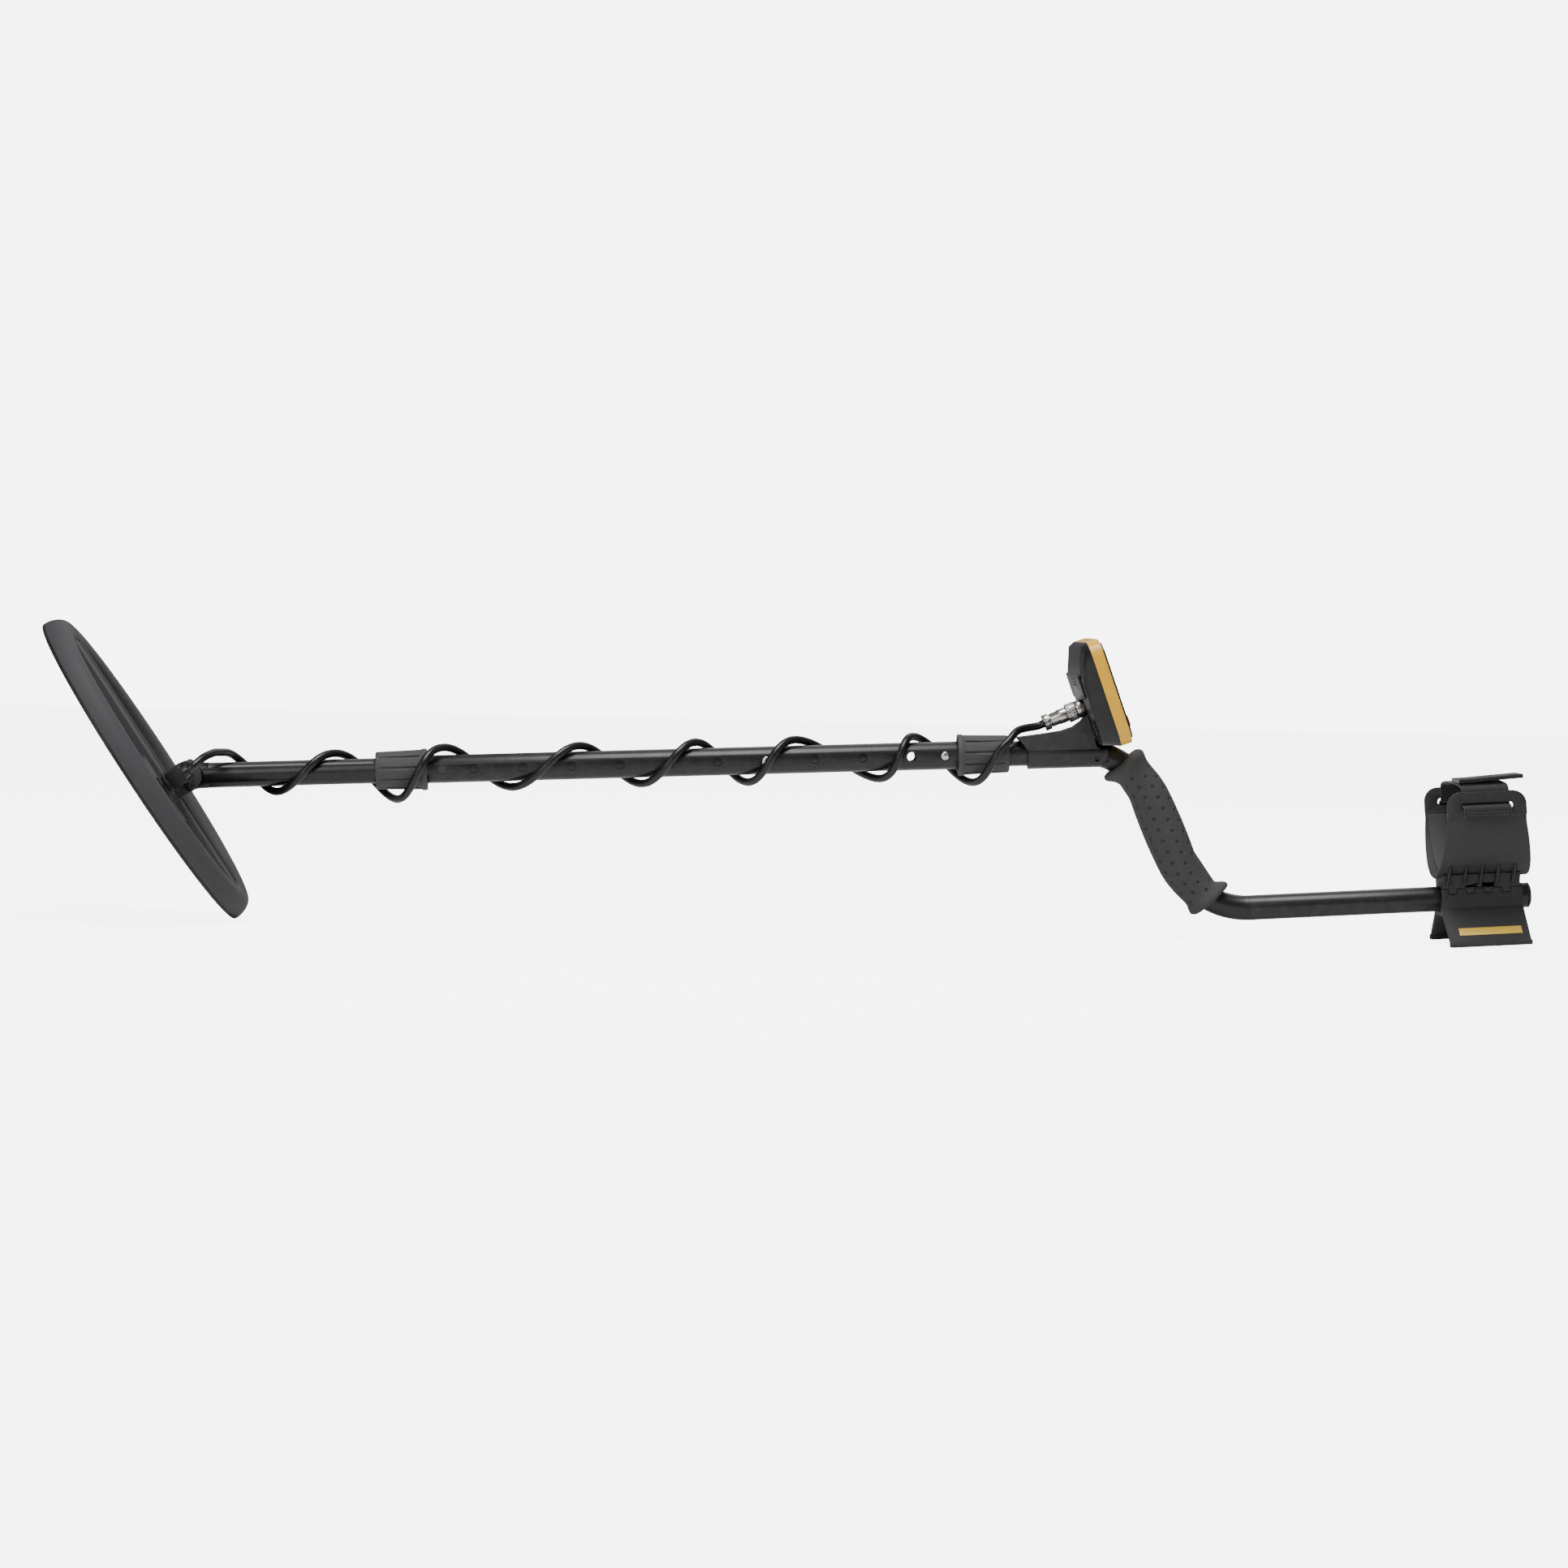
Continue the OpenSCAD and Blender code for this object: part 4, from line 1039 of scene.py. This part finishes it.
@dataclass
class DimpledGrip:
    """The foam grip, swept round the handle tube, with columns of dimples."""

    start: float = 34.6
    length: float = 135.0
    tube_radius: float = 10.1
    around: int = 216
    per_length: int = 290
    columns: int = 10
    dimple_pitch: float = 9.5
    dimple_radius: float = 2.0
    dimple_depth: float = 1.5
    rows: tuple = (
        (0.0, 17.0, 48), (0.018, 18.8, 48), (0.04, 18.4, 49), (0.075, 15.8, 52), (0.115, 14.7, 55),
        (0.17, 14.9, 59), (0.25, 15.7, 63), (0.33, 16.4, 65), (0.42, 16.8, 66), (0.5, 16.9, 66),
        (0.58, 16.7, 66), (0.66, 16.2, 65), (0.74, 15.5, 62), (0.82, 14.8, 58), (0.88, 14.5, 54),
        (0.925, 15.0, 50), (0.96, 18.0, 47), (0.982, 19.0, 46), (1.0, 17.4, 46),
    )
    turn_1: float = SHAFT_RISE + GRIP_FALL
    turn_2: float = GRIP_FALL + REAR_RISE

    def axis(self, d: float) -> Vector:
        """The tube's axis at a distance past the start of its first bend, in millimetres."""
        tangent_1 = BEND_R * math.tan(math.radians(self.turn_1 / 2))
        tangent_2 = BEND_R * math.tan(math.radians(self.turn_2 / 2))
        arc_1 = BEND_R * math.radians(self.turn_1)
        leg = GRIP_LEG - tangent_1 - tangent_2
        rise = math.radians(SHAFT_RISE)
        start = Vector(along(PIVOT, -SHAFT_RISE, CORNER_S - tangent_1))
        centre_1 = start + BEND_R * Vector((math.sin(rise), 0, -math.cos(rise)))
        fall = math.radians(GRIP_FALL)
        if d < arc_1 + leg:
            f = min(d / BEND_R - rise, fall)
            place = centre_1 + BEND_R * Vector((math.sin(f), 0, math.cos(f)))
            return place + max(0.0, d - arc_1) * Vector((math.cos(fall), 0, -math.sin(fall)))
        back = math.radians(REAR_RISE)
        centre_2 = (
            Vector(CORNER_2)
            + tangent_2 * Vector((math.cos(back), 0, math.sin(back)))
            + BEND_R * Vector((-math.sin(back), 0, math.cos(back)))
        )
        f = fall - (d - arc_1 - leg) / BEND_R
        return centre_2 - BEND_R * Vector((math.sin(f), 0, math.cos(f)))

    def spot(self, share: float, radius: float, tilt: float, t: float) -> Vector:
        """A point of the grip, at a share of its length and an angle round it."""
        a = math.radians(tilt)
        out = Vector((math.sin(a) * math.cos(t), math.sin(t), math.cos(a) * math.cos(t)))
        return (self.axis(self.start + share * self.length) + radius * out) * MM

    def build(self) -> None:
        """Sweeps the grip and presses the dimples in."""
        last = len(self.rows) - 1
        fine = smooth_rows(
            self.rows,
            lambda k: max(3, round((self.rows[k + 1][0] - self.rows[k][0]) * self.per_length)),
        )
        ends = (self.tube_radius, self.tube_radius + 0.4, 13.0, 15.6, 16.6)
        first = [(0.0, r, self.rows[0][2]) for r in ends]
        final = [(1.0, r, self.rows[last][2]) for r in reversed(ends)]
        rings = [
            [self.spot(s, r, tilt, 2 * math.pi * i / self.around) for i in range(self.around)]
            for s, r, tilt in first + fine + final
        ]
        made = finished_object("grip_sleeve", lofted(rings, close_path=True), FOAM, 50)
        centres = bpy.data.meshes.new("dimple_centres")
        centres.from_pydata(self.dimple_centres(fine), [], [])
        points = bpy.data.objects.new("dimple_centres", centres)
        bpy.context.scene.collection.objects.link(points)
        REPEATS.run(
            made,
            REPEATS.dimples,
            Centres=points,
            Radius=self.dimple_radius * MM,
            Depth=self.dimple_depth * MM,
            Material=FOAM.material(),
        )
        bpy.data.objects.remove(points)
        shade(made, 50)
        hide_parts("grip")
        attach(made, "handle")
        log.info("grip_sleeve: built with %s", FOAM.name)

    def dimple_centres(self, fine: list[list[float]]) -> list[Vector]:
        """Where the dimples are, in staggered columns."""
        spots = []
        for column in range(self.columns):
            t = math.radians(-108 + 360 * column / self.columns)
            d = 15.0 + (column % 2) * self.dimple_pitch / 2
            while d < self.length - 9:
                share = d / self.length
                row = min(fine, key=lambda r: abs(r[0] - share))
                spots.append(self.spot(share, row[1], row[2], t))
                d += self.dimple_pitch
        return spots


# ---------------------------------------------------------------- the cable


@dataclass
class CoilCable:
    """The coil's cable, wound round the shaft from the gland to the plug."""

    radius: float = 3.2
    sides: int = 16
    front_end: int = 6
    middle_end: int = 13
    route: tuple = (
        (4.6, 98, 42.4), (9, 103, 42), (15, 113, 37), (22, 130, 28),
        (29, 158, 19.5), (38, 210, 15.8), (51, 270, 14.4), (70, 360, 14.4), (92, 450, 14.4),
        (114, 540, 14.6), (139, 630, 19), (164.5, 720, 23), (184, 810, 22), (204, 900, 17.1),
        (256.6, 1080, 15.8), (310, 1260, 15.6), (359, 1440, 15.9), (402.4, 1620, 15.9),
        (443.8, 1800, 17), (481.8, 1980, 15.8), (548.3, 2160, 17), (575.3, 2340, 15.8),
        (598, 2430, 19.5), (622.6, 2520, 22), (641, 2610, 21), (651.5, 2643, 20.5),
        (661, 2680, 20.4), (675.3, 2700, 21.4), (681.8, 2700, 23.9), (690.2, 2700, 27.0),
    )

    def steps(self, k: int) -> int:
        """Steps in one span: one for each ten degrees of turn."""
        return max(5, round((self.route[k + 1][1] - self.route[k][1]) / 10))

    def line(self) -> tuple[list[Vector], list[int]]:
        """The centreline, and the number of the point at each knot."""
        points = []
        for s, turn, r in smooth_rows(self.route, self.steps):
            a = math.radians(turn)
            points.append(at(ON_SHAFT, s, -r * math.sin(a), -r * math.cos(a)))
        knots = [0]
        for k in range(len(self.route) - 1):
            knots.append(knots[-1] + self.steps(k))
        return points, knots

    def rings(self, points: list[Vector]) -> list[list[Vector]]:
        """Rings round the centreline, carried along it without twist."""
        rings = []
        side = Vector((0, 0, 1))
        last = len(points) - 1
        for i, p in enumerate(points):
            way = (points[min(last, i + 1)] - points[max(0, i - 1)]).normalized()
            side = (side - side.dot(way) * way).normalized()
            other = way.cross(side)
            rings.append(
                [
                    p + self.radius * MM * (side * math.cos(t) + other * math.sin(t))
                    for t in (2 * math.pi * q / self.sides for q in range(self.sides))
                ]
            )
        return rings

    def build(self) -> None:
        """Makes the three stretches, one for each of the frame's cable nodes; only the rear one is
        attached, to the handle.
        """
        points, knots = self.line()
        rings = self.rings(points)
        a, b = knots[self.front_end], knots[self.middle_end]
        for name, node, low, high in (
            ("cable_at_coil", "cable_front", 0, a),
            ("cable_on_stem", "cable_middle", a, b),
            ("cable_to_plug", "cable_rear", b, len(points) - 1),
        ):
            made = finished_object(name, lofted(rings[low : high + 1]), CABLE, 60)
            path = points[low : high + 1]
            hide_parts(node)
            if node == "cable_rear":
                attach(made, "handle")
            elif node == "cable_front":
                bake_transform(made)
            else:
                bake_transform(made)
            length = sum((q - p).length for p, q in zip(path, path[1:]))
            log.info("%s: %.3f m long with %s", name, length, CABLE.name)


# ---------------------------------------------------------------- the control box


@dataclass
class ControlBox:
    """The box on its saddle, with its face, keys, inside parts and plug."""

    clamp_x: float = -32.6
    clamp_y: float = 6.3
    screw_y: float = 50.0
    screw_z: float = 18.0
    screw_x: float = -7.0
    glass_x: float = 11.84

    def build(self) -> None:
        """Dresses the box's pieces and adds its screws and display marks."""
        dress_all(
            ("saddle_lower", SATIN, 0.5), ("saddle_upper", SPARK, 0.8),
            ("back_cover", CASE, 1.2), ("front_bezel", YELLOW, 2.2),
            ("front_panel", PANEL, 0.3), ("display_window", GLASS, 0.3),
            ("display_module", LCD), ("circuit_board", BOARD), ("speaker", LOCK),
            ("battery_tray", LOCK), ("battery_cells", CELLS), ("battery_door", CASE, 0.35),
            ("key_power", KEY_RED, 0.7), ("key_mode", KEY_GREY, 0.7),
            ("key_notch", KEY_GREY, 0.7), ("key_minus", KEY_GREY, 0.7),
            ("key_plus", KEY_GREY, 0.7), ("key_pinpoint", KEY_YELLOW, 0.7),
            ("coil_socket", NICKEL, 0.3), ("headphone_jack", SATIN, 0.3),
            ("plug_shell", NICKEL, 0.3), ("coupling_nut", NICKEL, 0.15),
            ("plug_clamp", NICKEL, 0.3),
        )
        self.case_screws()
        self.clamp_screws()
        self.display_marks()

    def case_screws(self) -> None:
        """Cross-headed screws in the back cover."""
        facing, run = way(ON_BOX, -1, 0, 0), way(ON_BOX, 0, 1, 0)
        x = self.screw_x + 2.0
        spots = [
            (at(ON_BOX, x, sy * self.screw_y, sz * self.screw_z), facing, run)
            for sy in (-1, 1)
            for sz in (-1, 1)
        ]
        made = pattern("case_screw_heads", spots, self.screw_head(2.0, 2.2), STEEL, "handle")
        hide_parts("case_screws")

    def clamp_screws(self) -> None:
        """The two small screws that close the plug's cable clamp."""
        run = way(ON_PLUG, 1, 0, 0)
        spots = []
        for sy in (-1, 1):
            for up in (-1, 1):
                place = at(ON_PLUG, self.clamp_x, sy * self.clamp_y, up * 1.7)
                spots.append((place, way(ON_PLUG, 0, 0, up), run))
        pattern("clamp_screw_heads", spots, self.screw_head(1.5, 1.1), STEEL, "handle")

    @staticmethod
    def screw_head(radius: float, height: float) -> bmesh.types.BMesh:
        """A domed screw head with a sunk cross, in millimetres."""
        head = turned_shape(
            (
                (radius, 0.0),
                (radius, height * 0.5),
                (radius * 0.86, height * 0.82),
                (radius * 0.5, height),
            ),
            20,
        )
        arms = []
        for turn in (0.0, math.pi / 2):
            arm = block_shape(radius * 1.1, radius * 0.26, height * 0.06, height * 0.01)
            lift = Matrix.Translation((0, 0, height * 0.985 * MM))
            place = lift @ Matrix.Rotation(turn, 4, "Z")
            bmesh.ops.transform(arm, matrix=place, verts=arm.verts)
            arms.append(arm)
        return join_bmesh([head, *arms])

    def display_marks(self) -> None:
        """Plain segments on the display: a scale, a level and a row of blocks."""
        facing, run = way(ON_BOX, 1, 0, 0), way(ON_BOX, 0, 1, 0)
        spots = []
        for y, z in (
            [(-33 + 6 * i, 23.5) for i in range(12)]
            + [(-33 + 6 * i, 17.5) for i in range(12)]
            + [(-12 + 6 * i, 9.0) for i in range(5)]
            + [(-12 + 6 * i, 3.0) for i in range(5)]
            + [(31.5, 2.0 + 3.4 * i) for i in range(4)]
            + [(-33, 2.0 + 3.4 * i) for i in range(4)]
        ):
            spots.append((at(ON_BOX, self.glass_x, y, z), facing, run))
        pattern("display_marks", spots, block_shape(4.6, 2.0, 0.1, 0.02), SEGMENT, "handle")


# ---------------------------------------------------------------- the arm cuff


@dataclass
class ArmCuff:
    """The cuff, its liner and stand, and the webbing strap."""

    start: float = 195.0
    length: float = 63.0
    band_from: float = 67.4
    strap_width: float = 38.0
    strap_thickness: float = 1.6
    strap_path: tuple = (
        (-56.4, 66.5), (-56.5, 70.5), (-56.2, 73.6), (-54.4, 75.3), (-51.5, 75.5), (-48.6, 76.6),
        (-47.2, 79.5), (-46.9, 83.5), (-46.2, 87.6), (-43.6, 90.2), (-36, 91.6), (-24, 92.4),
        (0, 93.0), (24, 92.4), (36, 91.6), (43.6, 90.2), (46.2, 87.6), (46.9, 83.5), (47.2, 79.5),
        (48.6, 76.6), (51.5, 75.5), (54.4, 75.3), (56.2, 73.6), (56.5, 70.5), (56.4, 66.5),
    )
    tail_path: tuple = (
        (12.0, 95.4), (17.0, 95.4), (22.0, 95.5), (30.0, 95.9), (42.0, 96.5), (54.0, 97.0),
        (63.0, 97.4),
    )
    tail_thickness: float = 3.2
    tail_y: tuple = (-43.0, -9.0)

    def build(self) -> None:
        """Dresses the cuff and makes the strap."""
        dress_all(
            ("cuff_stand", STAND, 0.6), ("maker_bar", MARK, 0.12), ("cuff_bolt", STEEL, 0.2),
        )
        cuff = Carried("arm_cuff", CUFF, 0.7, sharp=32).dress()
        self.texture_band(cuff)
        liner = Carried("cuff_liner", LINER, 0.5).dress()
        self.strap()
        self.tail()
        self.stitches()

    def texture_band(self, cuff: bpy.types.Object) -> None:
        """Gives the cuff's upper edge its rougher band."""
        cuff.data.materials.append(CUFF_BAND.material())
        back = ON_REAR.inverted()
        for face in cuff.data.polygons:
            place = back @ face.center
            if place.z > self.band_from * MM:
                face.material_index = 1

    def ribbon(
        self,
        name: str,
        middle: Sequence[tuple[float, float]],
        place: Callable[[float, float, float], Vector],
        half: float,
        thickness: float,
    ) -> bpy.types.Object:
        """A woven band with thickness and a rounded selvedge.

        Args:
            name: The piece's name.
            middle: The middle line, as (run, height) pairs in millimetres.
            place: Turns (run, height, across) into a point.
            half: Half of its width.
            thickness: Its thickness.

        Returns:
            The band, with a UV map in metres: U across it, V along it.
        """
        bm = bmesh.new()
        layer = bm.loops.layers.uv.new("UVMap")
        t = thickness / 2
        around = [(-half, 0.0), (-half + 0.25, t * 0.8), (-half + 0.9, t)]
        inner = [(-half + 0.9 + (2 * half - 1.8) * i / 10, t) for i in range(1, 10)]
        upper = around + inner + [(-x, z) for x, z in reversed(around)]
        section = upper + [(x, -z) for x, z in reversed(upper[1:-1])]
        lengths = [0.0]
        for p, q in zip(middle, middle[1:]):
            lengths.append(lengths[-1] + math.dist(p, q))
        rings = []
        for k, (run, height) in enumerate(middle):
            p, q = middle[max(0, k - 1)], middle[min(len(middle) - 1, k + 1)]
            long = math.dist(p, q)
            normal = (-(q[1] - p[1]) / long, (q[0] - p[0]) / long)
            spots = [place(run + normal[0] * z, height + normal[1] * z, x) for x, z in section]
            rings.append([bm.verts.new(spot) for spot in spots])
        n = len(section)
        for k in range(len(rings) - 1):
            for i in range(n):
                j = (i + 1) % n
                face = bm.faces.new((rings[k][i], rings[k][j], rings[k + 1][j], rings[k + 1][i]))
                for loop, (col, row) in zip(face.loops, ((i, k), (j, k), (j, k + 1), (i, k + 1))):
                    loop[layer].uv = (section[col][0] * MM, lengths[row] * MM)
        for ring, flip in ((rings[0], True), (rings[-1], False)):
            face = bm.faces.new(ring[::-1] if flip else ring)
            for loop in face.loops:
                loop[layer].uv = (0.0, 0.0)
        bmesh.ops.recalc_face_normals(bm, faces=bm.faces)
        return finished_object(name, bm, WEBBING, 50)

    def strap(self) -> None:
        """The strap: through both slots and over the top."""
        middle = self.start + self.length / 2
        fine = [tuple(r) for r in smooth_rows(self.strap_path, lambda k: 6)]

        def place(run: float, height: float, across: float) -> Vector:
            """Strap space to the row frame."""
            return at(ON_REAR, middle + across, run, height)

        made = self.ribbon("strap_band", fine, place, self.strap_width / 2, self.strap_thickness)
        length = sum(math.dist(p, q) for p, q in zip(fine, fine[1:]))
        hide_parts("strap")
        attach(made, "cuff")
        log.info("strap_band: %.0f mm long with %s", length, WEBBING.name)

    def tail(self) -> None:
        """The strap's free end, which stands up stiffly towards the rear."""
        low, high = self.tail_y
        fine = [tuple(r) for r in smooth_rows(self.tail_path, lambda k: 4)]

        def place(run: float, height: float, across: float) -> Vector:
            """Tail space to the row frame."""
            return at(ON_REAR, self.start + run, (low + high) / 2 + across, height)

        made = self.ribbon("strap_tail", fine, place, (high - low) / 2, self.tail_thickness)
        length = sum(math.dist(p, q) for p, q in zip(fine, fine[1:]))
        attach(made, "cuff")
        log.info("strap_tail: %.0f mm long with %s", length, WEBBING.name)

    def stitches(self) -> None:
        """Two rows of stitches across each folded end of the strap."""
        middle = self.start + self.length / 2
        spots = []
        for side in (-1, 1):
            for level in (68.2, 70.4):
                for i in range(12):
                    across = middle + (i - 5.5) * 2.8
                    place = at(ON_REAR, across, side * 57.2, level)
                    spots.append((place, way(ON_REAR, 0, side, 0), way(ON_REAR, 1, 0, 0)))
        pattern("strap_stitches", spots, block_shape(1.9, 0.55, 0.3, 0.12), STITCH, "cuff")


# ---------------------------------------------------------------- the studio


@dataclass
class Studio:
    """The floor, the light and the camera."""

    aim: Point = (-6.4, 0.0, 117.3)
    eye: Point = (-149.4, -3700.0, 256.3)
    roll: float = 1.24
    scale: float = 1.55
    picture: float = 1932.0
    floor_half: float = 7.0
    floor_lift: float = 5.5
    surround: float = 6.6
    fill: float = 0.25
    lights_aim: float = 0.1

    def build(self) -> None:
        """Sets the camera up first, then the floor and the lights."""
        self.camera()
        self.floor()
        self.lights()

    def camera(self) -> None:
        """The camera, with its slight roll and no shift."""
        data = bpy.data.cameras.new("camera")
        made = bpy.data.objects.new("camera", data)
        bpy.context.scene.collection.objects.link(made)
        eye, aim = Vector(self.eye) * MM, Vector(self.aim) * MM
        ahead = (aim - eye).normalized()
        level = ahead.cross(Vector((0, 0, 1))).normalized()
        above = level.cross(ahead)
        a = math.radians(self.roll)
        right = level * math.cos(a) + above * math.sin(a)
        up = right.cross(ahead)
        place = Matrix((right, up, -ahead)).transposed().to_4x4()
        place.translation = eye
        made.matrix_world = place
        data.sensor_fit = "HORIZONTAL"
        reach = -self.eye[1]
        data.angle = 2 * math.atan(self.picture / 2 / (self.scale * reach))
        data.clip_end = 40.0
        bpy.context.scene.camera = made

    def floor(self) -> None:
        """A plain pale floor."""
        h = self.floor_half
        mesh = bpy.data.meshes.new("floor")
        mesh.from_pydata([(-h, -h, 0), (h, -h, 0), (h, h, 0), (-h, h, 0)], [], [(0, 1, 2, 3)])
        made = bpy.data.objects.new("floor", mesh)
        bpy.context.scene.collection.objects.link(made)
        material = bpy.data.materials.new("pale_floor")
        material.use_nodes = True
        material.node_tree.nodes.clear()
        g = Graph(material.node_tree)
        shader = g.add(
            "ShaderNodeBsdfPrincipled",
            {"Base Color": (0.9, 0.9, 0.9, 1.0), "Roughness": 0.9, "Specular IOR Level": 0.1},
        )
        lit = g.add("ShaderNodeEmission", {"Color": WHITE, "Strength": self.floor_lift})
        path = g.add("ShaderNodeLightPath")
        lift = g.add("ShaderNodeMixShader", {0: path.outputs["Is Camera Ray"], 2: lit.outputs[0]})
        both = g.add("ShaderNodeAddShader", {0: shader.outputs[0], 1: lift.outputs[0]})
        g.add("ShaderNodeOutputMaterial", {"Surface": both.outputs[0]})
        mesh.materials.append(material)

    def lights(self) -> None:
        """Soft boxes overhead, in front and behind, and a pale surround."""
        for name, place, size, power in (
            ("overhead", (0.0, -0.6, 2.4), 1.5, 60.0),
            ("front_left", (-1.7, -2.6, 1.5), 1.6, 22.0),
            ("rear", (0.6, 2.2, 1.9), 2.2, 16.0),
        ):
            data = bpy.data.lights.new(name, "AREA")
            data.shape = "SQUARE"
            data.size = size
            data.energy = power
            made = bpy.data.objects.new(name, data)
            made.location = place
            ahead = Vector((0, 0, self.lights_aim)) - Vector(place)
            made.rotation_euler = ahead.to_track_quat("-Z", "Y").to_euler()
            bpy.context.scene.collection.objects.link(made)
        world = bpy.data.worlds.new("pale_surround")
        bpy.context.scene.world = world
        world.use_nodes = True
        world.node_tree.nodes.clear()
        g = Graph(world.node_tree)
        seen = g.add("ShaderNodeBackground", {"Color": WHITE, "Strength": self.surround})
        lit = g.add("ShaderNodeBackground", {"Color": WHITE, "Strength": self.fill})
        path = g.add("ShaderNodeLightPath")
        both = g.add(
            "ShaderNodeMixShader",
            {0: path.outputs["Is Camera Ray"], 1: lit.outputs[0], 2: seen.outputs[0]},
        )
        g.add("ShaderNodeOutputWorld", {"Surface": both.outputs[0]})


def main() -> None:
    """Builds the scene."""
    logging.basicConfig(level=logging.INFO, format="%(name)s: %(message)s")
    Studio().build()
    CoilCable().build()
    SearchCoil().build()
    Shaft().build()
    DimpledGrip().build()
    ControlBox().build()
    ArmCuff().build()


if __name__ == "__main__":
    main()
